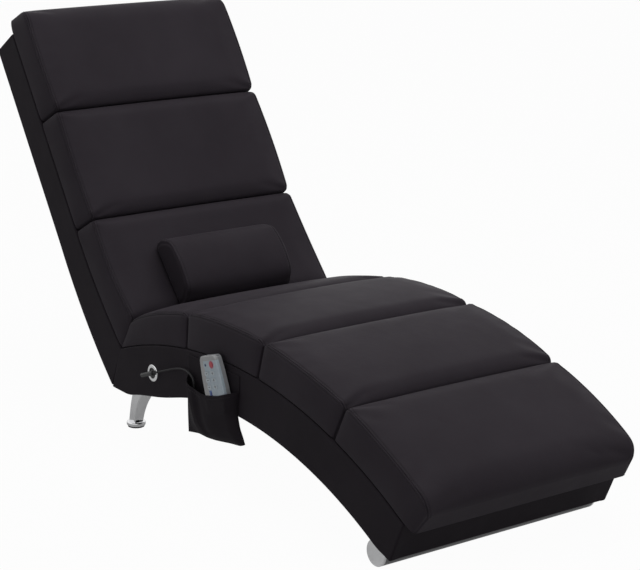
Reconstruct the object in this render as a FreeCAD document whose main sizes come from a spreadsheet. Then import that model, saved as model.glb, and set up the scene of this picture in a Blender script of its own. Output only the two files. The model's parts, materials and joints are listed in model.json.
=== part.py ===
"""Massage lounge chair: curved seat and reclined back on a wooden frame, in millimetres.

+X points to the foot end, +Y to the sitter's left, +Z up. The origin lies on the floor under the middle
of the chair's box. Side outlines are drawn about the seat's arc axis, which runs along Y below the floor.
"""
import FreeCAD, Part
import Sketcher
import math
import os
import re

SIZES = {
    # Seat arc and base
    "chair_width": 556.0,
    "origin_forward": 5.8,
    "origin_side": -12.7,
    "seat_axis_x": 150.0,
    "deck_radius": 1120.0,
    "deck_height": 267.0,
    "base_depth": 95.0,
    "front_angle": 31.0,
    "front_slant": 24.8,
    "front_depth": 80.4,
    "flat_height": 104.0,
    # Joint of seat and back
    "joint_angle": -21.0,
    "joint_slope": 68.0,
    # Back
    "back_radius": 1427.0,
    "back_start": 44.0,
    "back_lean": 56.0,
    "straight_length": 489.0,
    "back_depth": 77.0,
    "back_corner": 12.0,
    # Frame and cover
    "cover_thick": 2.5,
    "strap_thick": 2.0,
    "strap_width": 50.0,
    "panel_thick": 22.0,
    "rail_thick": 22.0,
    "rail_depth": 58.0,
    "rail_heading": 6.5,
    "rail_gap": 0.2,
    "plank_thick": 18.0,
    "plank_gap": 10.7,
    "dust_thick": 1.2,
    # Pads
    "seat_pad_height": 85.0,
    "back_pad_height": 78.0,
    "lumbar_foot_height": 86.0,
    "pad_pitch": 13.05,
    "foot_pad_angle": 13.8,
    "shoulder_length": 265.0,
    "foot_overhang": 1.3,
    "head_overhang": 34.0,
    "pad_gap": 1.5,
    "pad_lean": 8.0,
    "pad_crown": 5.0,
    "pad_swell": 3.0,
    "pad_shoulder": 13.0,
    "pad_draw": 4.0,
    "seam_round": 18.0,
    "seam_drop": 10.0,
    "plan_round": 5.0,
    "free_round": 30.0,
    "free_drop": 26.0,
    "free_plan": 14.0,
    # Brackets between seat and back
    "bracket_thick": 4.0,
    "bracket_width": 40.0,
    "bracket_arm": 100.0,
    "bracket_sink": 45.0,
    "bracket_turn": 46.0,
    "bolt_near": 30.0,
    "bolt_far": 78.0,
    "bolt_diameter": 8.0,
    "bolt_head_diameter": 14.0,
    "bolt_head_height": 5.0,
    "bolt_grip": 24.0,
    # Rear legs
    "leg_set": 63.5,
    "leg_inset": 60.0,
    "leg_toe": 24.0,
    "leg_toe_width": 24.0,
    "leg_top_rear": 18.0,
    "leg_top_front": 64.0,
    "leg_top_width": 36.0,
    "leg_rear_radius": 420.0,
    "leg_front_radius": 130.0,
    "leg_round": 3.0,
    "leg_plate_thick": 5.0,
    "leg_plate_width": 60.0,
    "disc_diameter": 42.0,
    "disc_height": 9.0,
    "disc_round": 2.5,
    "glide_diameter": 37.0,
    "glide_height": 3.0,
    "screw_diameter": 5.0,
    "screw_head": 9.0,
    "screw_head_height": 2.5,
    "screw_length": 18.0,
    "screw_inset": 6.0,
    # Front tube
    "tube_hang": 15.8,
    "tube_radius": 27.0,
    "tube_wall": 2.0,
    "tube_notch": 0.4,
    "cap_thick": 6.0,
    "cap_gap": 2.0,
    "cap_round": 3.0,
    "cap_spigot": 16.0,
    "cap_fit": 0.05,
    "tube_rail_width": 44.0,
    "tube_bolt_inset": 128.0,
    "tube_bolt_length": 46.0,
    "front_board_thick": 12.0,
    "front_board_gap": 1.0,
    # Vibration motors
    "motor_diameter": 24.0,
    "motor_length": 38.0,
    "motor_sink": 30.0,
    "clamp_wall": 5.0,
    "clamp_length": 20.0,
    "shaft_diameter": 3.0,
    "shaft_fit": 0.05,
    "shaft_inside": 8.0,
    "shaft_outside": 14.0,
    "weight_radius": 13.0,
    "weight_thick": 9.0,
    "weight_hub": 5.0,
    # Control box and socket
    "socket_back": 267.0,
    "socket_height": 178.75,
    "ring_diameter": 37.0,
    "ring_thick": 3.0,
    "ring_round": 1.2,
    "insert_diameter": 24.0,
    "insert_proud": 1.5,
    "insert_length": 33.0,
    "jack_diameter": 6.3,
    "jack_depth": 21.0,
    "box_length": 86.0,
    "box_height": 50.0,
    "box_depth": 38.0,
    "box_wall": 2.5,
    "box_forward": 24.0,
    "box_rise": 6.0,
    "lid_thick": 2.5,
    "board_thick": 1.6,
    "board_post": 8.0,
    "board_gap": 0.4,
    "inlet_diameter": 11.0,
    "inlet_length": 16.0,
    # Plug and lead
    "pin_diameter": 6.0,
    "pin_length": 20.0,
    "plug_diameter": 10.0,
    "plug_tail": 26.0,
    "plug_nose": 20.0,
    "plug_stand": 12.0,
    "plug_turn": 21.0,
    "lead_diameter": 4.0,
    "lead_first_run": 28.0,
    "lead_end_run": 14.0,
    "relief_length": 10.0,
    "relief_diameter": 8.0,
    # Pocket
    "pocket_back": 131.0,
    "pocket_length": 187.0,
    "pocket_cloth": 1.5,
    "pocket_depth": 22.2,
    "pocket_gusset": 14.0,
    "pocket_top": 257.0,
    "mouth_left": 207.0,
    "mouth_right": 214.0,
    "hem_left": 89.0,
    "hem_right": 114.0,
    "pocket_flare": 21.0,
    # Handset
    "handset_forward": 8.0,
    "handset_low": 169.25,
    "handset_tilt": 17.5,
    "handset_lean": 2.5,
    "handset_length": 120.0,
    "handset_top_width": 56.0,
    "handset_low_width": 66.0,
    "handset_thick": 16.5,
    "handset_split": 8.9,
    "handset_wall": 2.0,
    "handset_corner": 11.0,
    "handset_edge": 2.5,
    "handset_bow": 420.0,
    "handset_gap": 1.8,
    "key_width": 13.0,
    "key_height": 8.0,
    "key_column": 11.0,
    "key_pitch": 14.0,
    "key_low": 55.5,
    "key_proud": 1.2,
    "key_gap": 0.3,
    "key_flange": 1.0,
    "key_flange_thick": 0.8,
    "key_seat": 0.2,
    "key_stem": 4.0,
    "key_stem_length": 3.2,
    "power_diameter": 10.0,
    "power_height": 101.0,
    "window_diameter": 6.0,
    "post_diameter": 5.0,
    "post_height": 4.0,
    "post_side": 16.0,
    # Lumbar pillow
    "pillow_length": 286.0,
    "pillow_height": 152.0,
    "pillow_depth": 66.0,
    "pillow_heading": 49.1,
    "pillow_gap": 6.8,
    "pillow_end_round": 10.0,
    "pillow_brow": 0.66,
    "pillow_cheek": 0.8,
}

LEFT, RIGHT = 1, -1
ROUND_STEPS, MIDDLE_STEPS = 4, 6
Y_AXIS = FreeCAD.Vector(0, 1, 0)
Z_AXIS = FreeCAD.Vector(0, 0, 1)
ALIAS = re.compile(r"[a-z][a-z0-9_]*")

doc = FreeCAD.newDocument("massage_lounge_chair")
sheet = doc.addObject("Spreadsheet::Sheet", "sizes")
for row, (alias, number) in enumerate(SIZES.items(), start=1):
    sheet.set("A%d" % row, alias)
    sheet.set("B%d" % row, str(number))
    sheet.setAlias("B%d" % row, alias)
doc.recompute()

pieces = []


# Helpers that tie the document's objects to the sheet

def formula(text):
    """Text with each size's name turned into a reference to its cell."""
    return ALIAS.sub(lambda word: "sizes." + word.group() if word.group() in SIZES else word.group(), text)


def value(text):
    """Number that a formula of sizes comes to."""
    return float(sheet.evalExpression(formula(text)))


def bind(thing, prop, text):
    """Tie a property to a formula of the sheet's sizes."""
    thing.setExpression(prop, formula(text))


def keep(thing):
    """Add a finished sub-part to the list that is written out."""
    pieces.append(thing)
    return thing


def new_body(label):
    """Empty body."""
    return doc.addObject("PartDesign::Body", label)


def new_sketch(body, plane_role, depth):
    """Sketch on one of the body's own planes, shifted along the plane's normal."""
    sketch = body.newObject("Sketcher::SketchObject", body.Name + "_outline")
    plane = [item for item in body.Origin.OriginFeatures if item.Role == plane_role][0]
    sketch.AttachmentSupport = [(plane, "")]
    sketch.MapMode = "FlatFace"
    bind(sketch, "AttachmentOffset.Base.z", depth)
    return sketch


def pin_point(sketch, geometry, end, across, up):
    """Hold a point of a sketch at formulas measured from the sketch's origin."""
    for kind, text in (("DistanceX", across), ("DistanceY", up)):
        index = sketch.addConstraint(Sketcher.Constraint(kind, -1, 1, geometry, end, value(text)))
        bind(sketch, "Constraints[%d]" % index, text)


def hold_radius(sketch, geometry, text):
    """Hold the radius of a circle or an arc."""
    index = sketch.addConstraint(Sketcher.Constraint("Radius", geometry, value(text)))
    bind(sketch, "Constraints[%d]" % index, text)


def arc_middle(start, end, radius, side):
    """Middle of an arc between two points that bulges to one side of the way along it."""
    chord = end - start
    normal = FreeCAD.Vector(-chord.y, chord.x, 0).normalize()
    bulge = radius - math.sqrt(radius * radius - chord.Length ** 2 / 4)
    return (start + end) * 0.5 + normal * bulge * side


def draw_outline(sketch, corners):
    """Closed outline through corners (across, up[, radius, side]); a radius makes the next edge an arc."""
    points = [FreeCAD.Vector(value(corner[0]), value(corner[1]), 0) for corner in corners]
    count = len(corners)
    edges = []
    for index, corner in enumerate(corners):
        start, end = points[index], points[(index + 1) % count]
        if len(corner) == 2:
            edges.append((sketch.addGeometry(Part.LineSegment(start, end), False), 1, 2))
            continue
        middle = arc_middle(start, end, value(corner[2]), corner[3])
        number = sketch.addGeometry(Part.Arc(start, middle, end), False)
        forward = (sketch.getPoint(number, 1) - start).Length < (sketch.getPoint(number, 2) - start).Length
        edges.append((number, 1, 2) if forward else (number, 2, 1))
    for index, (number, first, last) in enumerate(edges):
        following = edges[(index + 1) % count]
        sketch.addConstraint(Sketcher.Constraint("Coincident", number, last, following[0], following[1]))
    for corner, (number, first, last) in zip(corners, edges):
        pin_point(sketch, number, first, corner[0], corner[1])
        if len(corner) > 2:
            hold_radius(sketch, number, corner[2])


def draw_circle(sketch, across, up, radius):
    """Circle held by its centre and its radius."""
    centre = FreeCAD.Vector(value(across), value(up), 0)
    number = sketch.addGeometry(Part.Circle(centre, Z_AXIS, value(radius)), False)
    pin_point(sketch, number, 3, across, up)
    hold_radius(sketch, number, radius)


def draw(sketch, shape):
    """Draw a shape: a list of corners, or a circle as (across, up, radius)."""
    if isinstance(shape, list):
        draw_outline(sketch, shape)
    else:
        draw_circle(sketch, *shape)


def add_prism(body, shapes, low, high):
    """Add side outlines, drawn in X and Z, as solid from y = low to y = high."""
    sketch = new_sketch(body, "XZ_Plane", "-(%s)" % high)
    for shape in shapes:
        draw(sketch, shape)
    pad = body.newObject("PartDesign::Pad", body.Name + "_prism")
    pad.Profile = sketch
    bind(pad, "Length", "(%s) - (%s)" % (high, low))
    return pad


def cut_prism(body, shapes, low, high):
    """Cut side outlines, drawn in X and Z, out of the body from y = low to y = high."""
    doc.recompute()
    before = body.Shape.Volume
    sketch = new_sketch(body, "XZ_Plane", "-(%s)" % low)
    for shape in shapes:
        draw(sketch, shape)
    pocket = body.newObject("PartDesign::Pocket", body.Name + "_opening")
    pocket.Profile = sketch
    bind(pocket, "Length", "(%s) - (%s)" % (high, low))
    doc.recompute()
    if body.Shape.Volume >= before:
        raise ValueError("the opening in %s removes nothing" % body.Label)
    return pocket


def span(edge, axis):
    """Distance between an edge's ends along one axis."""
    places = [getattr(vertex, axis) for vertex in edge.Vertexes]
    return max(places) - min(places)


def soften(body, radius, wanted):
    """Round the edges of a body that a test picks."""
    doc.recompute()
    base = body.Tip
    names = ["Edge%d" % number for number, edge in enumerate(base.Shape.Edges, start=1) if wanted(edge)]
    fillet = body.newObject("PartDesign::Fillet", body.Name + "_round")
    fillet.Base = (base, names)
    bind(fillet, "Radius", radius)
    doc.recompute()
    return fillet


def prism(label, shapes, low, high):
    """Body with one outline drawn out along Y."""
    body = new_body(label)
    add_prism(body, shapes, low, high)
    return body


def place(thing, across, along, up, turn="0"):
    """Place an object in the chair's frame, turned about Y."""
    thing.Placement = FreeCAD.Placement(FreeCAD.Vector(), FreeCAD.Rotation(Y_AXIS, 0))
    for prop, text in (("Base.x", across), ("Base.y", along), ("Base.z", up), ("Rotation.Angle", turn)):
        bind(thing, "Placement." + prop, text)
    return thing


def group(label, members):
    """One sub-part made of several separate solids."""
    cluster = doc.addObject("Part::Compound", label)
    cluster.Links = members
    return cluster


def bar(name, radius, length, centre, axis=Y_AXIS):
    """Round bar that starts at a point given by formulas and runs along an axis."""
    item = doc.addObject("Part::Cylinder", name)
    bind(item, "Radius", radius)
    bind(item, "Height", length)
    turn = FreeCAD.Rotation(Z_AXIS, axis)
    item.Placement = FreeCAD.Placement(FreeCAD.Vector(), turn)
    for prop, text in zip(("x", "y", "z"), centre):
        bind(item, "Placement.Base." + prop, text)
    return item


def join(name, base, tool):
    """Union of two objects."""
    item = doc.addObject("Part::Fuse", name)
    item.Base = base
    item.Tool = tool
    return item


def minus(name, base, tool):
    """One object with another taken out of it."""
    item = doc.addObject("Part::Cut", name)
    item.Base = base
    item.Tool = tool
    return item


def rounded(name, base, radius, wanted):
    """Fillet on the edges of an object that a test picks."""
    doc.recompute()
    item = doc.addObject("Part::Fillet", name)
    item.Base = base
    chosen = [number for number, edge in enumerate(base.Shape.Edges, start=1) if wanted(edge)]
    item.Edges = [(number, value(radius), value(radius)) for number in chosen]
    return item


def free_shape(label, shape):
    """Sub-part whose form is lofted or swept."""
    item = doc.addObject("Part::Feature", label)
    item.Shape = shape
    item.Placement = FreeCAD.Placement()
    return item


# Points of the side view, as formulas

SIDE = "chair_width / 2"
INNER_SIDE = "(chair_width / 2 - cover_thick)"
CAVITY_SIDE = "(chair_width / 2 - cover_thick - panel_thick)"
LOW_RADIUS = "(deck_radius - base_depth)"
FRAME_RADIUS = "(deck_radius - cover_thick - strap_thick)"
FRAME_OFFSET = "(cover_thick + strap_thick)"
AXIS_Z = "(deck_height - deck_radius)"
JOINT_X = "(seat_axis_x + deck_radius * sin(joint_angle))"
JOINT_Z = "(%s + deck_radius * cos(joint_angle))" % AXIS_Z
BACK_X = "(%s + back_radius * sin(back_start))" % JOINT_X
BACK_Z = "(%s + back_radius * cos(back_start))" % JOINT_Z
FLAT_STEP = "((flat_height - %s) / sin(joint_slope))" % JOINT_Z
TUBE_REACH = "(%s - tube_hang)" % LOW_RADIUS
TUBE_RISE = "(tube_radius - %s)" % AXIS_Z
TUBE_FORWARD = "sqrt(%s ^ 2 - %s ^ 2)" % (TUBE_REACH, TUBE_RISE)
TUBE_X = "(seat_axis_x + %s)" % TUBE_FORWARD
TUBE_SIN = "(%s / %s)" % (TUBE_FORWARD, TUBE_REACH)
TUBE_COS = "(%s / %s)" % (TUBE_RISE, TUBE_REACH)
TUBE_BOLT_SIDE = "(chair_width / 2 - tube_bolt_inset)"
PLANK_END = "(seat_axis_x - sqrt((%s + dust_thick) ^ 2 - (flat_height - %s) ^ 2))" % (LOW_RADIUS, AXIS_Z)
LEG_X = "(%s - leg_set)" % PLANK_END
LEG_SIDE = "(chair_width / 2 - leg_inset)"
LEG_TOP = "(flat_height - leg_plate_thick)"
FOOT_TOP = "(glide_height + disc_height)"
SOCKET_X = "(seat_axis_x - socket_back)"


def seat_point(radius, angle):
    """Point at a radius and an angle from the vertical, about the seat's axis."""
    across = "seat_axis_x + (%s) * sin(%s)" % (radius, angle)
    up = "%s + (%s) * cos(%s)" % (AXIS_Z, radius, angle)
    return across, up


def joint_point(step):
    """Point on the plane where the seat and the back meet, a step up from the deck."""
    return "%s + (%s) * cos(joint_slope)" % (JOINT_X, step), "%s + (%s) * sin(joint_slope)" % (JOINT_Z, step)


def seat_step(radius):
    """Step along the joint plane to a circle about the seat's axis."""
    reach = "deck_radius * sin(joint_slope + joint_angle)"
    return "sqrt((%s) ^ 2 - deck_radius ^ 2 + (%s) ^ 2) - %s" % (reach, radius, reach)


def back_step(offset):
    """Step along the joint plane to a line that runs behind the back's deck."""
    reach = "back_radius * sin(back_start + joint_slope)"
    return "%s - sqrt((%s) ^ 2 - back_radius ^ 2 + (back_radius + (%s)) ^ 2)" % (reach, reach, offset)


def back_point(offset, heading="back_lean", climb="0"):
    """Point behind the back's deck, at a heading on its arc and a climb up its straight part."""
    across = "%s - (back_radius + (%s)) * sin(%s) - (%s) * cos(back_lean)" % (BACK_X, offset, heading, climb)
    up = "%s - (back_radius + (%s)) * cos(%s) + (%s) * sin(back_lean)" % (BACK_Z, offset, heading, climb)
    return across, up


def front_point(step, inset):
    """Point on the base's slanted front, a step up from the deck's front edge and drawn in by an inset."""
    edge_x, edge_z = seat_point("deck_radius", "front_angle")
    across = "%s - (%s) * cos(front_slant) + (%s) * sin(front_slant)" % (edge_x, inset, step)
    up = "%s + (%s) * sin(front_slant) + (%s) * cos(front_slant)" % (edge_z, inset, step)
    return across, up


def front_step(radius, inset):
    """Step along the base's front, drawn in by an inset, to a circle about the seat's axis."""
    reach = "deck_radius * cos(front_angle - front_slant)"
    aside = "(deck_radius * sin(front_angle - front_slant) - (%s))" % inset
    return "sqrt((%s) ^ 2 - %s ^ 2) - %s" % (radius, aside, reach)


def seat_outline(top, low, flat, inset, front):
    """Side view of the base between two radii, flat below at the rear and straight ahead of the tube."""
    flat_x = "seat_axis_x - sqrt((%s) ^ 2 - (%s - %s) ^ 2)" % (low, flat, AXIS_Z)
    flat_step = "(%s - %s) / sin(joint_slope)" % (flat, JOINT_Z)
    over_tube = ("seat_axis_x + (%s) * %s" % (low, TUBE_SIN), "%s + (%s) * %s" % (AXIS_Z, low, TUBE_COS))
    return [
        joint_point(seat_step(top)) + (top, LEFT),
        front_point(front_step(top, inset), inset),
        front_point(front, inset),
        over_tube + (low, RIGHT),
        (flat_x, flat),
        joint_point(flat_step),
    ]


def back_outline(front, rear, top, low_step):
    """Side view of the back between two offsets behind its deck."""
    return [
        joint_point(back_step(front)) + ("back_radius + (%s)" % front, LEFT),
        back_point(front),
        back_point(front, climb=top),
        back_point("(%s) - back_corner" % rear, climb=top),
        back_point(rear, climb="(%s) - back_corner" % top),
        back_point(rear) + ("back_radius + (%s)" % rear, RIGHT),
        joint_point(low_step),
    ]


def arc_strip(low, high, angle, width):
    """Side view of a strip that follows the seat's arc, centred on an angle."""
    half = "(%s) / (2 * deck_radius) * 180 / pi" % width
    first, last = "(%s) - %s" % (angle, half), "(%s) + %s" % (angle, half)
    return [
        seat_point(high, first) + (high, LEFT),
        seat_point(high, last),
        seat_point(low, last) + (low, RIGHT),
        seat_point(low, first),
    ]


def radial_box(low, high, sine, cosine, width):
    """Side view of a straight board that stands on a radius of the seat's arc."""
    corners = []
    for radius, side in ((low, -0.5), (high, -0.5), (high, 0.5), (low, 0.5)):
        across = "seat_axis_x + (%s) * %s + %s * (%s) * %s" % (radius, sine, side, width, cosine)
        up = "%s + (%s) * %s - %s * (%s) * %s" % (AXIS_Z, radius, cosine, side, width, sine)
        corners.append((across, up))
    return corners


def back_box(front, rear, heading, climb, width):
    """Side view of a straight board that stands square to the back's deck."""
    corners = []
    for offset, side in ((front, -0.5), (front, 0.5), (rear, 0.5), (rear, -0.5)):
        across, up = back_point(offset, heading, climb)
        across += " - %s * (%s) * cos(%s)" % (side, width, heading)
        up += " + %s * (%s) * sin(%s)" % (side, width, heading)
        corners.append((across, up))
    return corners


TUBE_NOTCH = (TUBE_X, "tube_radius", "tube_radius + tube_notch")


# Bracket between the seat and the back

def bracket_hole(arm, step):
    """Place of a bolt on an arm of the bracket."""
    across, up = joint_point("-bracket_sink")
    if arm == "seat":
        return across + " + %s * cos(joint_angle)" % step, up + " - %s * sin(joint_angle)" % step
    return across + " - %s * cos(bracket_turn)" % step, up + " + %s * sin(bracket_turn)" % step


def bracket_outline():
    """Side view of the bent flat bracket: one arm along the seat, one up the back."""
    centre = joint_point("-bracket_sink")
    seat_tip = bracket_hole("seat", "bracket_arm")
    back_tip = bracket_hole("back", "bracket_arm")
    half = "bracket_width / 2"
    mitre = "(%s) / (1 + cos(bracket_turn - joint_angle))" % half
    elbow_x = "(%s) * (sin(bracket_turn) + sin(joint_angle))" % mitre
    elbow_z = "(%s) * (cos(joint_angle) + cos(bracket_turn))" % mitre
    corners = []
    for side in ("+", "-"):
        seat_corner = (seat_tip[0] + " %s %s * sin(joint_angle)" % (side, half),
                       seat_tip[1] + " %s %s * cos(joint_angle)" % (side, half))
        elbow = (centre[0] + " %s %s" % (side, elbow_x), centre[1] + " %s %s" % (side, elbow_z))
        back_corner = (back_tip[0] + " %s %s * sin(bracket_turn)" % (side, half),
                       back_tip[1] + " %s %s * cos(bracket_turn)" % (side, half))
        corners.append([seat_corner, elbow, back_corner])
    return corners[0] + corners[1][::-1]


BOLT_HOLES = {arm: [bracket_hole(arm, step) + ("bolt_diameter / 2",) for step in ("bolt_near", "bolt_far")]
              for arm in ("seat", "back")}


def side_span(side, inner, outer):
    """Low and high y of a piece on one side of the chair."""
    if side == "left":
        return inner, outer
    return "-(%s)" % outer, "-(%s)" % inner


def make_brackets():
    """Two steel brackets on the inner faces of the frame, with eight bolts through them."""
    plates, bolts = [], []
    for side, sign in (("left", 1), ("right", -1)):
        inner = "%s - bracket_thick" % CAVITY_SIDE
        low, high = side_span(side, inner, CAVITY_SIDE)
        plate = prism("bracket_plate_" + side, [bracket_outline()], low, high)
        cut_prism(plate, BOLT_HOLES["seat"] + BOLT_HOLES["back"], low, high)
        plates.append(plate)
        outward = FreeCAD.Vector(0, sign, 0)
        for arm in ("seat", "back"):
            for number, hole in enumerate(BOLT_HOLES[arm]):
                name = "bracket_bolt_%s_%s_%d" % (side, arm, number)
                face = "%d * (%s)" % (sign, inner)
                start = "%d * (%s - bolt_head_height)" % (sign, inner)
                root = (hole[0], face, hole[1])
                shank = bar(name + "_shank", "bolt_diameter / 2", "bolt_grip", root, outward)
                head = bar(name + "_head", "bolt_head_diameter / 2", "bolt_head_height",
                           (hole[0], start, hole[1]), outward)
                bolts.append(join(name, shank, head))
    keep(group("back_brackets", plates))
    keep(group("bracket_bolts", bolts))


# Wooden frame

def make_seat_frame():
    """Curved side panels, cross rails, front board and leg plank of the seat."""
    outline = seat_outline(FRAME_RADIUS, LOW_RADIUS + " + dust_thick", "flat_height", "cover_thick",
                           "dust_thick - front_depth")
    for side in ("left", "right"):
        low, high = side_span(side, CAVITY_SIDE, INNER_SIDE)
        panel = prism("seat_side_panel_" + side, [outline], low, high)
        cut_prism(panel, [TUBE_NOTCH], low, high)
        cut_prism(panel, BOLT_HOLES["seat"], low, high)
        if side == "right":
            cut_prism(panel, [(SOCKET_X, "socket_height", "insert_diameter / 2")], low, high)
        keep(panel)
    low, high = "-" + CAVITY_SIDE, CAVITY_SIDE
    rail_low = "%s - rail_depth" % FRAME_RADIUS
    rails = []
    for number in (1, 2, 3):
        angle = seat_seam(number)
        sine, cosine = "sin(%s)" % angle, "cos(%s)" % angle
        box = radial_box(rail_low, FRAME_RADIUS + " - rail_gap", sine, cosine, "rail_thick")
        rails.append(prism("seat_rail_%d" % number, [box], low, high))
    tube_rail = radial_box(TUBE_REACH + " + tube_radius", TUBE_REACH + " + tube_radius + rail_thick",
                           TUBE_SIN, TUBE_COS, "tube_rail_width")
    rail = prism("seat_rail_tube", [tube_rail], low, high)
    rails.append(minus("seat_rail_tube_bored", rail, group("tube_rail_bores", tube_bolt_shanks("bore"))))
    keep(group("seat_cross_rails", rails))
    board_rear = "cover_thick + front_board_thick"
    board_low = front_step(TUBE_REACH + " + tube_radius + rail_thick + front_board_gap", board_rear)
    board_top = front_step(FRAME_RADIUS + " - rail_gap", "cover_thick")
    board = [front_point(board_low, "cover_thick"), front_point(board_top, "cover_thick"),
             front_point(board_top, board_rear), front_point(board_low, board_rear)]
    keep(prism("seat_front_board", [board], low, high))
    plank_start = joint_point(FLAT_STEP)[0] + " + plank_gap"
    plank_top = "flat_height + plank_thick"
    plank = [(plank_start, "flat_height"), (PLANK_END, "flat_height"), (PLANK_END, plank_top),
             (plank_start, plank_top)]
    body = prism("leg_plank", [plank], low, high)
    keep(minus("seat_leg_plank", body, group("plank_bores", leg_screw_bars("bore"))))


def seat_seam(number):
    """Angle of the seam after a seat pad, counted from the rear; the fourth is the foot pad's front end."""
    if number == 4:
        return "(front_angle + foot_overhang)"
    return "(front_angle + foot_overhang - foot_pad_angle - %d * pad_pitch)" % (3 - number)


def make_back_frame():
    """Bent side rails and cross rails of the back."""
    top = "straight_length - cover_thick"
    outline = back_outline(FRAME_OFFSET, "back_depth - cover_thick", top, FLAT_STEP + " + cover_thick")
    for side in ("left", "right"):
        low, high = side_span(side, CAVITY_SIDE, INNER_SIDE)
        rail = prism("back_side_rail_" + side, [outline], low, high)
        cut_prism(rail, BOLT_HOLES["back"], low, high)
        keep(rail)
    rails = []
    spots = (("back_start + rail_heading", "0"), ("back_lean", "rail_thick"),
             ("back_lean", "straight_length / 2"),
             ("back_lean", "straight_length - cover_thick - rail_thick / 2"))
    for number, (heading, climb) in enumerate(spots, start=1):
        rear = "%s + rail_depth - back_corner" % FRAME_OFFSET
        box = back_box(FRAME_OFFSET, rear, heading, climb, "rail_thick")
        rails.append(prism("back_rail_%d" % number, [box], "-" + CAVITY_SIDE, CAVITY_SIDE))
    keep(group("back_cross_rails", rails))


def make_webbing():
    """Elastic straps stapled across the seat and the back."""
    straps = []
    count = 9
    for number in range(count):
        share = "(%d + 0.5) / %d" % (number, count)
        angle = "(joint_angle + 1.5 + %s * (front_angle - joint_angle - 1))" % share
        strip = arc_strip(FRAME_RADIUS, FRAME_RADIUS + " + strap_thick", angle, "strap_width")
        straps.append(prism("seat_strap_%d" % number, [strip], "-" + INNER_SIDE, INNER_SIDE))
    keep(group("seat_webbing", straps))
    straps = []
    count = 6
    for number in range(count):
        climb = "(strap_width + %d * (straight_length - 1.7 * strap_width) / %d)" % (number, count - 1)
        box = back_box("cover_thick", FRAME_OFFSET, "back_lean", climb, "strap_width")
        straps.append(prism("back_strap_%d" % number, [box], "-" + INNER_SIDE, INNER_SIDE))
    keep(group("back_webbing", straps))


def make_covers():
    """Leatherette skins stretched round the seat base and the back, and the cloth under the base."""
    outer = seat_outline("deck_radius", LOW_RADIUS, "flat_height", "0", "-front_depth")
    seat = prism("seat_cover", [outer], "-" + SIDE, SIDE)
    inner = seat_outline("deck_radius - cover_thick", LOW_RADIUS + " - base_depth / 4",
                         "flat_height - base_depth / 4", "cover_thick", "-front_depth - base_depth / 4")
    cut_prism(seat, [inner], "-" + INNER_SIDE, INNER_SIDE)
    cut_prism(seat, [(SOCKET_X, "socket_height", "insert_diameter / 2")], "-" + SIDE, "0")
    keep(seat)
    outline = back_outline("0", "back_depth", "straight_length", FLAT_STEP)
    back = prism("back_cover", [outline], "-" + SIDE, SIDE)
    inner = back_outline("cover_thick", "back_depth - cover_thick", "straight_length - cover_thick",
                         FLAT_STEP + " + cover_thick")
    cut_prism(back, [inner], "-" + INNER_SIDE, INNER_SIDE)
    keep(back)
    low, high = LOW_RADIUS, LOW_RADIUS + " + dust_thick"
    rear = "seat_axis_x - sqrt((%s) ^ 2 - (flat_height - " + AXIS_Z + ") ^ 2)"
    front = TUBE_X + " - tube_radius - tube_notch"
    edge = AXIS_Z + " + sqrt((%s) ^ 2 - (%s - seat_axis_x) ^ 2)"
    sheet_outline = [
        (rear % high, "flat_height", high, LEFT),
        (front, edge % (high, front)),
        (front, edge % (low, front), low, RIGHT),
        (rear % low, "flat_height"),
    ]
    cloth = prism("dust_cloth", [sheet_outline], "-" + INNER_SIDE, INNER_SIDE)
    keep(minus("dust_cover", cloth, inlet_bar("inlet_cloth_hole", "inlet_diameter / 2 + board_gap")))


# Feet

def leg_screw_spots():
    """Centres of the screws that hold the leg plates to the plank, four to a leg."""
    spots = []
    for sign in (1, -1):
        for end in (0, 1):
            for edge in (-1, 1):
                spread = "(leg_top_front - leg_top_rear - 2 * screw_inset)"
                across = "%s + leg_top_rear + screw_inset + %d * %s" % (LEG_X, end, spread)
                along = "%d * (%s + %d * (leg_plate_width / 2 - screw_inset))" % (sign, LEG_SIDE, edge)
                spots.append((across, along))
    return spots


def leg_screw_bars(use):
    """Shanks of the leg screws, for the screws themselves or for the bores round them."""
    shanks = []
    for number, spot in enumerate(leg_screw_spots()):
        name = "leg_screw_%s_%d" % (use, number)
        shanks.append(bar(name, "screw_diameter / 2", "screw_length", spot + (LEG_TOP,), Z_AXIS))
    return shanks


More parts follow.
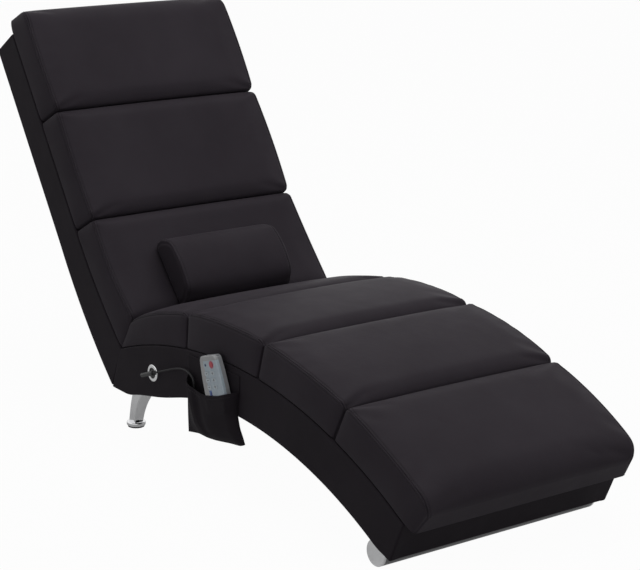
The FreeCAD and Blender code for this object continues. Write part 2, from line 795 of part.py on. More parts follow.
def make_legs():
    """Two curved chrome legs with a top plate, a foot disc, a rubber glide and four screws each."""
    discs, glides, screws = [], [], []
    rear_top, front_top = "%s + leg_top_rear" % LEG_X, "%s + leg_top_front" % LEG_X
    blade = [
        ("%s - leg_toe / 2" % LEG_X, FOOT_TOP, "leg_rear_radius", LEFT),
        (rear_top, LEG_TOP),
        (front_top, LEG_TOP, "leg_front_radius", RIGHT),
        ("%s + leg_toe / 2" % LEG_X, FOOT_TOP),
    ]
    plate = [(rear_top, LEG_TOP), (front_top, LEG_TOP), (front_top, "flat_height"), (rear_top, "flat_height")]
    for side, sign in (("left", 1), ("right", -1)):
        middle = "%d * %s" % (sign, LEG_SIDE)
        leg = new_body("leg_casting_" + side)
        add_prism(leg, [blade], "%s - leg_top_width / 2" % middle, "%s + leg_top_width / 2" % middle)
        taper_leg(leg, middle)
        soften(leg, "leg_round", lambda edge: span(edge, "Z") > value(LEG_TOP) / 2)
        add_prism(leg, [plate], "%s - leg_plate_width / 2" % middle, "%s + leg_plate_width / 2" % middle)
        bores = group("leg_bores_" + side, leg_screw_bars("plate_" + side))
        keep(minus("rear_leg_" + side, leg, bores))
        disc = bar("foot_disc_blank_" + side, "disc_diameter / 2", "disc_height",
                   (LEG_X, middle, "glide_height"), Z_AXIS)
        discs.append(rounded("foot_disc_" + side, disc, "disc_round", lambda edge: len(edge.Vertexes) == 1))
        glides.append(bar("glide_" + side, "glide_diameter / 2", "glide_height", (LEG_X, middle, "0"),
                          Z_AXIS))
    for number, (spot, shank) in enumerate(zip(leg_screw_spots(), leg_screw_bars("shank"))):
        head = bar("leg_screw_head_%d" % number, "screw_head / 2", "screw_head_height",
                   spot + (LEG_TOP + " - screw_head_height",), Z_AXIS)
        screws.append(join("leg_screw_%d" % number, shank, head))
    keep(group("leg_feet", discs))
    keep(group("leg_glides", glides))
    keep(group("leg_screws", screws))


def taper_leg(leg, middle):
    """Cut both flanks of a leg so that it narrows from its top to its toe."""
    for sign in (1, -1):
        doc.recompute()
        before = leg.Shape.Volume
        sketch = new_sketch(leg, "YZ_Plane", "%s - leg_toe" % LEG_X)
        outer = "%s + %d * leg_top_width / 2" % (middle, sign)
        corners = [(outer, LEG_TOP), ("%s + %d * leg_toe_width / 2" % (middle, sign), FOOT_TOP),
                   ("%s + %d * leg_top_width" % (middle, sign), FOOT_TOP),
                   ("%s + %d * leg_top_width" % (middle, sign), LEG_TOP)]
        draw(sketch, corners)
        pocket = leg.newObject("PartDesign::Pocket", leg.Name + "_flank")
        pocket.Profile = sketch
        pocket.Reversed = True
        bind(pocket, "Length", "leg_top_front + 2 * leg_toe")
        doc.recompute()
        if leg.Shape.Volume >= before:
            raise ValueError("the taper of %s removes nothing" % leg.Label)


def tube_bolt_shanks(use):
    """Shanks of the bolts that hold the tube to its rail, on the radius through the tube."""
    shanks = []
    axis = FreeCAD.Vector(value(TUBE_SIN), 0, value(TUBE_COS))
    for side, sign in (("left", 1), ("right", -1)):
        start = "(%s + tube_radius + rail_thick - tube_bolt_length)" % TUBE_REACH
        centre = ("seat_axis_x + %s * %s" % (start, TUBE_SIN), "%d * %s" % (sign, TUBE_BOLT_SIDE),
                  "%s + %s * %s" % (AXIS_Z, start, TUBE_COS))
        name = "tube_bolt_%s_%s" % (use, side)
        shanks.append(bar(name, "bolt_diameter / 2", "tube_bolt_length", centre, axis))
    return shanks


def make_tube():
    """Chrome tube across the foot end, with pressed end caps and two bolts up into its rail."""
    length = "chair_width - 2 * (cover_thick + cap_gap + cap_thick)"
    start = (TUBE_X, "-(%s) / 2" % length, "tube_radius")
    outside = bar("tube_outside", "tube_radius", length, start)
    inside = bar("tube_inside", "tube_radius - tube_wall", length, start)
    pipe = minus("tube_pipe", outside, inside)
    keep(minus("front_foot_tube", pipe, group("tube_bores", tube_bolt_shanks("tube_bore"))))
    for side, sign in (("left", 1), ("right", -1)):
        outward = FreeCAD.Vector(0, sign, 0)
        face = "%d * (%s) / 2" % (sign, length)
        disc = bar("cap_blank_" + side, "tube_radius", "cap_thick", (TUBE_X, face, "tube_radius"), outward)
        outer_y = sign * (value(length) / 2 + value("cap_thick"))
        dished = rounded("cap_disc_" + side, disc, "cap_round",
                         lambda edge: len(edge.Vertexes) == 1 and abs(edge.CenterOfMass.y - outer_y) < 0.01)
        spigot = bar("cap_spigot_" + side, "tube_radius - tube_wall - cap_fit", "cap_spigot",
                     (TUBE_X, "%s - %d * cap_spigot" % (face, sign), "tube_radius"), outward)
        keep(join("tube_end_cap_" + side, dished, spigot))
    bolts = []
    axis = FreeCAD.Vector(value(TUBE_SIN), 0, value(TUBE_COS))
    for side, sign, shank in zip(("left", "right"), (1, -1), tube_bolt_shanks("shank")):
        reach = "(%s + tube_radius + rail_thick)" % TUBE_REACH
        head = bar("tube_bolt_head_" + side, "bolt_head_diameter / 2", "bolt_head_height",
                   ("seat_axis_x + %s * %s" % (reach, TUBE_SIN), "%d * %s" % (sign, TUBE_BOLT_SIDE),
                    "%s + %s * %s" % (AXIS_Z, reach, TUBE_COS)), axis)
        bolts.append(join("tube_bolt_" + side, shank, head))
    keep(group("tube_bolts", bolts))


# Vibration motors

MOTORS = ("shoulder", "lumbar", "thigh", "calf")
MOTOR_AHEAD = "(rail_thick / 2 + clamp_wall + motor_diameter / 2)"


def motor_place(name):
    """Centre of a motor and the turn of its clamp about Y."""
    if name in ("thigh", "calf"):
        angle = seat_seam(2 if name == "thigh" else 3)
        across, up = seat_point("%s - motor_sink" % FRAME_RADIUS, angle)
        across += " - %s * cos(%s)" % (MOTOR_AHEAD, angle)
        up += " + %s * sin(%s)" % (MOTOR_AHEAD, angle)
        return across, up, angle
    climb = "straight_length / 2" if name == "shoulder" else "rail_thick"
    across, up = back_point("%s + motor_sink" % FRAME_OFFSET, climb="%s + %s" % (climb, MOTOR_AHEAD))
    return across, up, "back_lean"


def make_motors():
    """Four can motors clamped to cross rails, each with a loose-turning weight on its shaft."""
    cans, clamps = [], []
    for name in MOTORS:
        across, up, turn = motor_place(name)
        start = "-motor_length / 2"
        can = bar("motor_can_body_" + name, "motor_diameter / 2", "motor_length", (across, start, up))
        bearing = bar("motor_bearing_" + name, "shaft_diameter / 2 + shaft_fit", "shaft_inside",
                      (across, "motor_length / 2 - shaft_inside", up))
        cans.append(minus("motor_can_" + name, can, bearing))
        clamps.append(place(motor_clamp(name), across, "0", up, turn))
        shaft = bar("motor_shaft_" + name, "shaft_diameter / 2", "shaft_inside + shaft_outside - shaft_fit",
                    (across, "motor_length / 2 - shaft_inside + shaft_fit", up))
        lobe_end = "motor_length / 2 + shaft_outside"
        lobe = prism("motor_lobe_" + name, [weight_outline()], lobe_end + " - weight_thick", lobe_end)
        place(lobe, across, "0", up)
        keep(join(name + "_motor_weight", lobe, shaft))
    keep(group("motor_cans", cans))
    keep(group("motor_clamps", clamps))


def motor_clamp(name):
    """Block with a bore for the motor and a foot against the face of its rail."""
    half = "(motor_diameter / 2 + clamp_wall)"
    outline = [("-" + half, "-" + half), (half, "-" + half), (half, half), ("-" + half, half)]
    clamp = prism("motor_clamp_" + name, [outline], "-clamp_length / 2", "clamp_length / 2")
    cut_prism(clamp, [("0", "0", "motor_diameter / 2")], "-clamp_length / 2", "clamp_length / 2")
    return clamp


def weight_outline():
    """Half disc with a hub round the shaft, hanging under it."""
    return [
        ("-weight_radius", "0", "weight_radius * 1.0001", RIGHT),
        ("0", "-weight_radius", "weight_radius * 1.0001", RIGHT),
        ("weight_radius", "0"),
        ("weight_hub", "0"),
        ("weight_hub / 2", "weight_hub"),
        ("-weight_hub / 2", "weight_hub"),
        ("-weight_hub", "0"),
    ]


# Control box, socket and plug

BOX_LEFT = "(%s - box_length / 2 + box_forward)" % SOCKET_X
BOX_LOW = "(socket_height - box_height / 2 + box_rise)"


def inlet_bar(name, radius):
    """Upright bar where the power inlet passes through the control box's floor and the dust cover."""
    centre = (BOX_LEFT + " + box_length - inlet_diameter", "-%s + box_depth / 2" % CAVITY_SIDE,
              BOX_LOW + " + box_wall - inlet_length")
    return bar(name, radius, "inlet_length", centre, Z_AXIS)


def make_electrics():
    """Box behind the socket with its lid and board, the power inlet, and the ringed handset socket."""
    inner = "-%s" % CAVITY_SIDE
    right, top = BOX_LEFT + " + box_length", BOX_LOW + " + box_height"

    def frame(inset):
        """Rectangle of the box drawn in by an inset."""
        x_low, x_high = "%s + %s" % (BOX_LEFT, inset), "%s - %s" % (right, inset)
        z_low, z_high = "%s + %s" % (BOX_LOW, inset), "%s - %s" % (top, inset)
        return [(x_low, z_low), (x_high, z_low), (x_high, z_high), (x_low, z_high)]

    floor, rim = inner + " + box_wall", inner + " + box_depth"
    tray = prism("control_tray", [frame("0")], inner, rim)
    cut_prism(tray, [frame("box_wall")], floor, rim)
    cut_prism(tray, [(SOCKET_X, "socket_height", "insert_diameter / 2")], inner, floor)
    posts = [("%s - %d * board_post" % (right, steps), "socket_height", "board_post / 2") for steps in (2, 4)]
    board_face = floor + " + board_post"
    doc.recompute()
    add_prism(tray, posts, floor, board_face)
    keep(minus("control_box", tray, inlet_bar("inlet_box_hole", "inlet_diameter / 2")))
    keep(prism("control_box_lid", [frame("0")], rim, rim + " + lid_thick"))
    board = frame("(box_wall + board_gap)")
    board[0] = ("%s + insert_diameter / 2 + board_gap" % SOCKET_X, board[0][1])
    board[3] = (board[0][0], board[3][1])
    keep(prism("control_board", [board], board_face, board_face + " + board_thick"))
    barrel = inlet_bar("inlet_barrel", "inlet_diameter / 2")
    jack = inlet_bar("inlet_jack", "inlet_diameter / 4")
    bind(jack, "Height", "inlet_length - box_wall")
    keep(minus("power_inlet", barrel, jack))
    face = "-(%s)" % SIDE
    outward = FreeCAD.Vector(0, -1, 0)
    ring_centre = (SOCKET_X, face, "socket_height")
    blank = bar("ring_blank", "ring_diameter / 2", "ring_thick", ring_centre, outward)
    outer_y = -value(SIDE) - value("ring_thick")
    soft = rounded("ring_soft", blank, "ring_round",
                   lambda edge: len(edge.Vertexes) == 1 and abs(edge.CenterOfMass.y - outer_y) < 0.01)
    middle = bar("ring_middle", "insert_diameter / 2", "ring_thick", ring_centre, outward)
    keep(minus("socket_ring", soft, middle))
    nose = "%s - insert_proud" % face
    core = bar("insert_core", "insert_diameter / 2", "insert_length", (SOCKET_X, nose, "socket_height"))
    bore = bar("insert_bore", "jack_diameter / 2", "jack_depth", (SOCKET_X, nose, "socket_height"))
    keep(minus("socket_insert", core, bore))
    make_plug(nose)


def make_plug(nose):
    """Right-angle plug: a pin in the socket and a round body across its end."""
    middle = "%s - plug_stand" % nose
    pin = bar("plug_pin", "pin_diameter / 2", "pin_length + plug_stand", (SOCKET_X, middle, "socket_height"))
    turn = tilted(90 - mm("plug_turn"))
    tail = ("%s - plug_tail * cos(plug_turn)" % SOCKET_X, middle,
            "socket_height - plug_tail * sin(plug_turn)")
    barrel = bar("plug_barrel", "plug_diameter / 2", "plug_tail + plug_nose", tail, turn)
    ends = rounded("plug_ends", barrel, "plug_diameter / 5", lambda edge: len(edge.Vertexes) == 1)
    keep(join("handset_plug", ends, pin))


# Pads and pillow

def mm(name):
    """Size read from the sheet."""
    return float(sheet.get(name))


def side_point(pair):
    """Point of the side view at y = 0 from a pair of formulas."""
    return FreeCAD.Vector(value(pair[0]), 0, value(pair[1]))


def tilted(degrees):
    """Unit vector in the side view, tilted from the vertical towards the foot end."""
    return FreeCAD.Vector(math.sin(math.radians(degrees)), 0, math.cos(math.radians(degrees)))


def pad_section(foot, up, height, low, half, sink):
    """Outline across a pad: flat underside, sides that spread upwards, round shoulders and a crowned top."""
    def at(along, rise):
        return foot + Y_AXIS * along + up * rise

    shoulder = mm("pad_shoulder")
    bevel = shoulder * (1 - math.sqrt(0.5))
    inner = half - shoulder
    edges = [Part.LineSegment(at(-low, -sink), at(low, -sink)),
             Part.LineSegment(at(low, -sink), at(half, height - shoulder)),
             Part.Arc(at(half, height - shoulder), at(half - bevel, height - bevel), at(inner, height)),
             Part.Arc(at(inner, height), at(0, height + mm("pad_crown")), at(-inner, height)),
             Part.Arc(at(-inner, height), at(bevel - half, height - bevel), at(-half, height - shoulder)),
             Part.LineSegment(at(-half, height - shoulder), at(-low, -sink))]
    return Part.Wire([edge.toShape() for edge in edges])


def rounded_stations(length, first_edge, last_edge):
    """Distances along a soft piece, close together at its round ends, with the share of each end's drop."""
    turns = [math.pi / 2 * step / ROUND_STEPS for step in range(ROUND_STEPS + 1)]
    start = [(first_edge * (1 - math.cos(turn)), 1 - math.sin(turn), 0.0) for turn in turns]
    stop = [(length - last_edge * (1 - math.cos(turn)), 0.0, 1 - math.sin(turn)) for turn in reversed(turns)]
    straight = (length - first_edge - last_edge) / MIDDLE_STEPS
    middle = [(first_edge + straight * step, 0.0, 0.0) for step in range(1, MIDDLE_STEPS)]
    return start + middle + stop


def soft_loft(sections):
    """Smooth closed solid through the sections of a soft piece."""
    loft = Part.makeLoft(sections, True, False, False, 3)
    shell = loft.Shells[0]
    return Part.makeSolid(shell)


def pad_loft(length, station, sink, free):
    """Pad lofted along its length; station(distance) gives its foot, up and height; a free end rolls over."""
    edge, drop, plan = "seam_round", "seam_drop", "plan_round"
    if free:
        edge, drop, plan = "free_round", "free_drop", "free_plan"
    sections = []
    for distance, first, last in rounded_stations(length, mm("seam_round"), mm(edge)):
        foot, up, height = station(distance)
        waist = 1 - (2 * distance / length - 1) ** 2
        low = mm("chair_width") / 2 - mm("plan_round") * first - mm(plan) * last
        half = low - mm("pad_lean") + mm("pad_draw") * waist
        rise = height + mm("pad_swell") * waist - mm("seam_drop") * first - mm(drop) * last
        sections.append(pad_section(foot, up, rise, low, half, sink))
    return soft_loft(sections)


def make_seat_pads():
    """Four pads on the seat's deck; the rearmost leans into the joint with the back."""
    gap, radius, height = mm("pad_gap"), mm("deck_radius"), mm("seat_pad_height")
    sink = mm("cover_thick")
    axis = side_point(("seat_axis_x", AXIS_Z))
    deck = Part.makeCylinder(radius, mm("chair_width") * 2, axis - Y_AXIS * mm("chair_width"), Y_AXIS)
    starts = [mm("joint_angle")] + [value(seat_seam(number)) for number in (1, 2, 3)]
    ends = starts[1:] + [value(seat_seam(4))]
    for name, first, last in zip(("hip_pad", "thigh_pad", "calf_pad", "foot_pad"), starts, ends):
        length = math.radians(last - first) * radius - gap
        lean = 90 - mm("joint_slope") - first if name == "hip_pad" else 0.0

        def station(distance):
            angle = first + math.degrees((distance + gap / 2) / radius)
            tilt = lean * (1 - distance / length) ** 2
            foot = axis + tilted(angle) * radius
            return foot, tilted(angle + tilt), height / math.cos(math.radians(tilt * 0.75))

        pad = pad_loft(length, station, sink, name == "foot_pad")
        keep(free_shape(name, pad.cut(deck)))


def make_back_pads():
    """Three pads up the back's deck; the lowest swells towards the joint with the seat."""
    gap, height, radius = mm("pad_gap"), mm("back_pad_height"), mm("back_radius")
    start, lean = mm("back_start"), mm("back_lean")
    centre = side_point((BACK_X, BACK_Z))
    hollow = Part.makeCylinder(radius, mm("chair_width") * 2, centre - Y_AXIS * mm("chair_width"), Y_AXIS)
    arc_length = math.radians(lean - start) * radius

    def lumbar_station(distance):
        heading = start + math.degrees((distance + gap / 2) / radius)
        share = (1 - distance / arc_length) ** 2
        tilt = (90 - mm("joint_slope") - start) * share
        swell = height + (mm("lumbar_foot_height") - height) * share
        return centre - tilted(heading) * radius, tilted(heading + tilt), swell / math.cos(math.radians(tilt))

    lumbar = pad_loft(arc_length - gap, lumbar_station, mm("cover_thick"), False)
    keep(free_shape("lumbar_pad", lumbar.common(hollow)))
    knee = centre - tilted(lean) * radius
    climb = FreeCAD.Vector(-math.cos(math.radians(lean)), 0, math.sin(math.radians(lean)))
    seam, top = mm("shoulder_length"), mm("straight_length") + mm("head_overhang")
    for name, first, last in (("shoulder_pad", 0.0, seam), ("head_pad", seam, top)):
        def station(distance):
            return knee + climb * (first + gap / 2 + distance), tilted(lean), height

        keep(free_shape(name, pad_loft(last - first - gap, station, 0.0, name == "head_pad")))


def pillow_section(foot, climb, out, height, depth):
    """D-shaped outline of the pillow: flat towards the back, round towards the sitter."""
    def at(rise, reach):
        return foot + climb * rise + out * reach

    half = height / 2
    brow, cheek = half * mm("pillow_brow"), depth * mm("pillow_cheek")
    edges = [Part.LineSegment(at(-half, 0), at(half, 0)),
             Part.Arc(at(half, 0), at(half, cheek / 2), at(brow, cheek)),
             Part.Arc(at(brow, cheek), at(0, depth), at(-brow, cheek)),
             Part.Arc(at(-brow, cheek), at(-half, cheek / 2), at(-half, 0))]
    return Part.Wire([edge.toShape() for edge in edges])


def make_pillow():
    """Loose lumbar pillow that leans on the lumbar pad just above the hip pad."""
    heading, edge = mm("pillow_heading"), mm("pillow_end_round")
    out = tilted(heading)
    climb = FreeCAD.Vector(-out.z, 0, out.x)
    stand = mm("back_radius") - mm("back_pad_height") - mm("pad_crown") - mm("pad_swell") - mm("pillow_gap")
    foot = side_point((BACK_X, BACK_Z)) - out * stand - Y_AXIS * (mm("pillow_length") / 2)
    sections = []
    for distance, first, last in rounded_stations(mm("pillow_length"), edge, edge):
        drop = edge * (first + last)
        start = foot + Y_AXIS * distance + out * drop / 2
        height, depth = mm("pillow_height") - 2 * drop, mm("pillow_depth") - drop
        sections.append(pillow_section(start, climb, out, height, depth))
    keep(free_shape("lumbar_pillow", soft_loft(sections)))


# Pocket

POCKET_X = "(seat_axis_x - pocket_back)"


def make_pocket():
    """Cloth pocket hung from the seam of pad and base: a flat back panel and a bulged front panel."""
    right = "%s + pocket_length" % POCKET_X
    skirt = right + " + pocket_flare"
    back = [(POCKET_X, "pocket_top"), (right, "pocket_top"), (right, "mouth_right"), (skirt, "hem_right"),
            (POCKET_X, "hem_left"), (POCKET_X, "mouth_left")]
    keep(prism("pocket_back_panel", [back], "-%s - pocket_cloth" % SIDE, "-" + SIDE))
    face = -value(SIDE) - mm("pocket_cloth")
    cloth, full = mm("pocket_cloth"), mm("pocket_depth")
    left_x, right_x = value(POCKET_X), value(right)
    levels = [(0.0, full), (0.35, full * 0.95), (0.72, full * 0.87), (0.9, full * 0.57), (1.0, cloth * 1.1)]
    sections = []
    for fall, depth in levels:
        low_left = mm("mouth_left") + (mm("hem_left") - mm("mouth_left")) * fall
        low_right = mm("mouth_right") + (mm("hem_right") - mm("mouth_right")) * fall
        edge = right_x + mm("pocket_flare") * fall
        sections.append(pocket_section(left_x, edge, low_left, low_right, face, depth, cloth))
    keep(free_shape("pocket_front_panel", Part.makeLoft(sections, True, False)))


def pocket_section(left, right, low_left, low_right, face, depth, cloth):
    """Outline of the front panel's cloth at one level: out from the side, along and back in."""
    slope = (low_right - low_left) / (right - left)
    gusset = min(mm("pocket_gusset"), mm("pocket_gusset") * depth / mm("pocket_depth"))

    def at(across, out):
        return FreeCAD.Vector(across, face - out, low_left + slope * (across - left))

    inner = depth - cloth
    outer_line = [at(left, 0), at(left + gusset, depth), at(right - gusset, depth), at(right, 0)]
    inner_line = [at(right - cloth, 0), at(right - gusset - cloth, inner), at(left + gusset + cloth, inner),
                  at(left + cloth, 0)]
    return Part.makePolygon(outer_line + inner_line + outer_line[:1])


# Handset

HANDSET_X = "(seat_axis_x + handset_forward)"
HANDSET_BACK = "(-(%s) - pocket_cloth - handset_gap)" % SIDE


def handset_outline(inset):
    """Face of the handset in its own frame: wider at the foot, with slightly bowed sides."""
    low, top = "(handset_low_width / 2 - %s)" % inset, "(handset_top_width / 2 - %s)" % inset
    return [("-" + low, inset), (low, inset, "handset_bow", RIGHT), (top, "handset_length - %s" % inset),
            ("-" + top, "handset_length - %s" % inset, "handset_bow", RIGHT)]


HANDSET_FRAME = ("placement(vector(%s; %s; handset_low); rotation(vector(0; 1; 0); -handset_tilt)"
                 " * rotation(vector(1; 0; 0); handset_lean))" % (HANDSET_X, HANDSET_BACK))


def handset_place(thing):
    """Lean a piece of the handset towards the back and out from the chair's side."""
    bind(thing, "Placement", HANDSET_FRAME)
    return thing


def handset_point(across, out, up):
    """Point of the handset's own frame in the chair's frame."""
    frame = sheet.evalExpression(formula(HANDSET_FRAME))
    return frame.multVec(FreeCAD.Vector(across, -out, up))


def key_spots():
    """Centres of the six keys, as formulas in the handset's frame."""
    spots = []
    for row in range(3):
        for column in (-1, 1):
            spots.append(("%d * key_column" % column, "key_low + %d * key_pitch" % row))
    return spots


def key_outline(spot, grow):
    """Rectangle of a key round its centre."""
    half_x, half_z = "(key_width / 2 + %s)" % grow, "(key_height / 2 + %s)" % grow
    return [("%s - %s" % (spot[0], half_x), "%s - %s" % (spot[1], half_z)),
            ("%s + %s" % (spot[0], half_x), "%s - %s" % (spot[1], half_z)),
            ("%s + %s" % (spot[0], half_x), "%s + %s" % (spot[1], half_z)),
            ("%s - %s" % (spot[0], half_x), "%s + %s" % (spot[1], half_z))]


POWER_SPOT = ("key_column", "power_height")
WINDOW_SPOT = ("-key_column", "power_height")


def make_handset():
    """Two shells, a board, an indicator window, a power button and six keys."""
    split, face = "-handset_split", "-handset_thick"
    cavity = handset_outline("handset_wall")
    back = prism("handset_back_shell", [handset_outline("0")], split, "0")
    soften(back, "handset_corner", lambda edge: span(edge, "Y") > value("handset_split") / 2)
    cut_prism(back, [cavity], split, "-handset_wall")
    posts = [("%d * post_side" % side, height, "post_diameter / 2")
             for side in (-1, 1) for height in ("key_low / 2", "power_height + key_pitch / 2")]
    doc.recompute()
    add_prism(back, posts, "-handset_wall - post_height", "-handset_wall")
    keep(handset_place(back))
    front = prism("handset_front_shell", [handset_outline("0")], face, split)
    soften(front, "handset_corner", lambda edge: span(edge, "Y") > value("handset_wall"))
    soften(front, "handset_edge", lambda edge: max(vertex.Y for vertex in edge.Vertexes) < value(face) + 0.01)
    cut_prism(front, [handset_outline("handset_edge")], face + " + handset_wall", split)
    holes = [key_outline(spot, "key_gap") for spot in key_spots()]
    holes.append(POWER_SPOT + ("power_diameter / 2 + key_gap",))
    holes.append(WINDOW_SPOT + ("window_diameter / 2",))
    cut_prism(front, holes, face, face + " + handset_wall")
    keep(handset_place(front))
    board_back = "-handset_wall - post_height"
    board_outline = handset_outline("(handset_corner / 2)")
    board = prism("handset_board", [board_outline], board_back + " - board_thick", board_back)
    keep(handset_place(board))
    window = prism("handset_window", [WINDOW_SPOT + ("window_diameter / 2",)], face, face + " + handset_wall")
    keep(handset_place(window))
    make_button("power_button", POWER_SPOT + ("power_diameter / 2",),
                POWER_SPOT + ("power_diameter / 2 + key_flange",), POWER_SPOT)
    for number, spot in enumerate(key_spots(), start=1):
        make_button("key_%d" % number, key_outline(spot, "0"), key_outline(spot, "key_flange"), spot)
    relief = doc.addObject("Part::Cylinder", "lead_strain_relief")
    bind(relief, "Radius", "relief_diameter / 2")
    bind(relief, "Height", "relief_length")
    shift = "placement(vector(0; -handset_split; -relief_length); rotation(vector(0; 0; 1); 0))"
    bind(relief, "Placement", "%s * %s" % (HANDSET_FRAME, shift))
    keep(relief)


def make_button(label, cap, flange, spot):
    """Button with a cap through the face, a flange behind it and a stem towards the board."""
    under = "-handset_thick + handset_wall + key_seat"
    button = prism(label, [flange], under, under + " + key_flange_thick")
    doc.recompute()
    add_prism(button, [cap], "-handset_thick - key_proud", under)
    doc.recompute()
    stem_top = under + " + key_flange_thick"
    add_prism(button, [spot + ("key_stem / 2",)], stem_top, stem_top + " + key_stem_length")
    keep(handset_place(button))


# Lead of the handset

LEAD_ROUTE = [
    (-191.0, -10.0, 207.8), (-160.0, -6.5, 218.8), (-128.0, -6.6, 223.3), (-96.5, -10.0, 212.8),
    (-92.5, -11.4, 184.8), (-92.5, -11.2, 154.8), (-90.0, -11.2, 125.8), (-63.0, -11.2, 125.8),
    (-62.0, -11.2, 154.8), (-64.5, -11.2, 181.8), (-38.0, -11.2, 184.8), (-30.0, -11.2, 161.8),
    (-25.0, -11.3, 142.8), (-10.0, -11.4, 132.8), (7.0, -11.4, 134.3),
]


def lead_points():
    """Route of the lead from the plug, along the side, in loops down the pocket and up to the handset."""
    origin = FreeCAD.Vector(mm("seat_axis_x"), -value(SIDE), 0)
    plug_axis = tilted(90 - mm("plug_turn"))
    stand = value("-(%s) - insert_proud - plug_stand" % SIDE)
    exit_point = FreeCAD.Vector(value(SOCKET_X), stand, mm("socket_height")) + plug_axis * mm("plug_nose")
    turn_out = exit_point + plug_axis * mm("lead_first_run")
    end = handset_point(0, mm("handset_split"), -mm("relief_length"))
    turn_in = handset_point(0, mm("handset_split"), -mm("relief_length") - mm("lead_end_run"))
    route = [origin + FreeCAD.Vector(*point) for point in LEAD_ROUTE]
    return [exit_point, turn_out] + route + [turn_in, end]


def lead_path(points):
    """Straight runs joined by tangent arcs as large as the runs allow."""
    edges, radii = [], []
    at = points[0]
    for before, corner, after in zip(points, points[1:], points[2:]):
        inward, outward = (corner - before), (after - corner)
        turn = inward.getAngle(outward)
        run = min(inward.Length, outward.Length)
        radius = 0.45 * run / math.tan(turn / 2)
        radii.append(radius)
        trim = 0.45 * run
        inward.normalize()
        outward.normalize()
        start, end = corner - inward * trim, corner + outward * trim
        bisector = (outward - inward).normalize()
        depth = radius / math.cos(turn / 2) - radius
        edges.append(Part.LineSegment(at, start).toShape())
        edges.append(Part.Arc(start, corner + bisector * depth, end).toShape())
        at = end
    edges.append(Part.LineSegment(at, points[-1]).toShape())
    return Part.Wire(edges), radii


def make_lead():
    """Round lead swept along its route."""
    points = lead_points()
    path, radii = lead_path(points)
    radius = mm("lead_diameter") / 2
    profile = Part.Wire([Part.makeCircle(radius, points[0], points[1] - points[0])])
    tube = path.makePipeShell([profile], True, False)
    runs = [(after - before).Length for before, after in zip(points, points[1:])]
    print("lead length %.1f, runs %.0f to %.0f, radii" % (path.Length, min(runs), max(runs)),
          ["%.1f" % item for item in radii])
    print("lead volume %.1f of %.1f" % (tube.Volume, math.pi * radius ** 2 * path.Length))
    keep(free_shape("handset_lead", tube))


# Build, check and write

def build():
    """Make every sub-part."""
    make_seat_frame()
    make_back_frame()
    make_webbing()
    make_covers()
    make_brackets()
    make_legs()
    make_tube()
    make_motors()
    make_electrics()
    make_seat_pads()
    make_back_pads()
    make_pillow()
    make_pocket()
    make_handset()
    make_lead()
    doc.recompute()


def check():
    """Stop if an object failed or a sub-part has no sound shape."""
    for item in doc.Objects:
        if "Invalid" in item.State or "Error" in item.State:
            raise ValueError("%s failed: %s" % (item.Label, item.State))
    for piece in pieces:
        if piece.Shape.isNull() or not piece.Shape.isValid() or not piece.Shape.Solids:
            raise ValueError("%s has no sound shape" % piece.Label)


def write():
    """Write each sub-part to its own file, with the origin under the middle of the chair's box."""
    os.makedirs("parts", exist_ok=True)
    origin = FreeCAD.Vector(mm("origin_forward"), mm("origin_side"), 0)
    for piece in pieces:
        shape = piece.Shape.copy()
        shape.translate(-origin)
        shape.exportStep("parts/%s.step" % piece.Label)


build()
check()
write()
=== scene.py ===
"""Massage lounge chair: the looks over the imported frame, in metres.

+X points to the foot end, +Y to the sitter's left, +Z up. The seat's pads follow an arc about an axis below
the floor, and the back's pads an arc behind the sitter that runs out into a straight.
"""

import json
import math

import bmesh
import bpy
import numpy as np
from mathutils import Matrix, Vector
from mathutils.bvhtree import BVHTree


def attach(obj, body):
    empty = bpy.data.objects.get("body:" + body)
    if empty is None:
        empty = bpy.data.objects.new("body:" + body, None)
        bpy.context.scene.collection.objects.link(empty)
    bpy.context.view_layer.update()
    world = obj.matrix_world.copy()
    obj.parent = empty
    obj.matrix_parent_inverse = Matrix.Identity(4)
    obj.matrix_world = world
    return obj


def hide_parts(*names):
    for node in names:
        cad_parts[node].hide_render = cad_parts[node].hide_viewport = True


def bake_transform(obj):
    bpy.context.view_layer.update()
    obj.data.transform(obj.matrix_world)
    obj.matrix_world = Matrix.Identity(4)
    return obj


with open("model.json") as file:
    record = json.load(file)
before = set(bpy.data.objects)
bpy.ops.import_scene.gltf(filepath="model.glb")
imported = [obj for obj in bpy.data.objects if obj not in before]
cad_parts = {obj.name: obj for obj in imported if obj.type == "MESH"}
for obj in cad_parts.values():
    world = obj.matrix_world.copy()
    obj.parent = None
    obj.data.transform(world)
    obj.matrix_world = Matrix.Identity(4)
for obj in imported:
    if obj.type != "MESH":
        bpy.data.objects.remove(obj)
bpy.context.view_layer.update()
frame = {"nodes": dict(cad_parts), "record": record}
scene = bpy.context.scene
nodes = frame["nodes"]

# Side view, as in the frame; angles in degrees from the vertical towards the foot end, the slope from the level
HALF_WIDTH = 0.278
AXIS = Vector((0.1442, 0.0127, -0.853))
DECK_RADIUS = 1.120
BASE_RADIUS = 1.025
FLAT_HEIGHT = 0.104
FLAT_REACH = 0.3705
FRONT_ANGLE = 31.0
FRONT_LOW = Vector((0.6873, 0.0127, 0.0340))
TUBE_ANGLE = 29.31
JOINT_ANGLE = -21.0
JOINT_SLOPE = 68.0
BACK_RADIUS = 1.427
BACK_START = 44.0
BACK_LEAN = 56.0
STRAIGHT_LENGTH = 0.489
BACK_DEPTH = 0.077
BEND_ANGLE = math.degrees(math.atan2(-FLAT_REACH, FLAT_HEIGHT - AXIS.z))

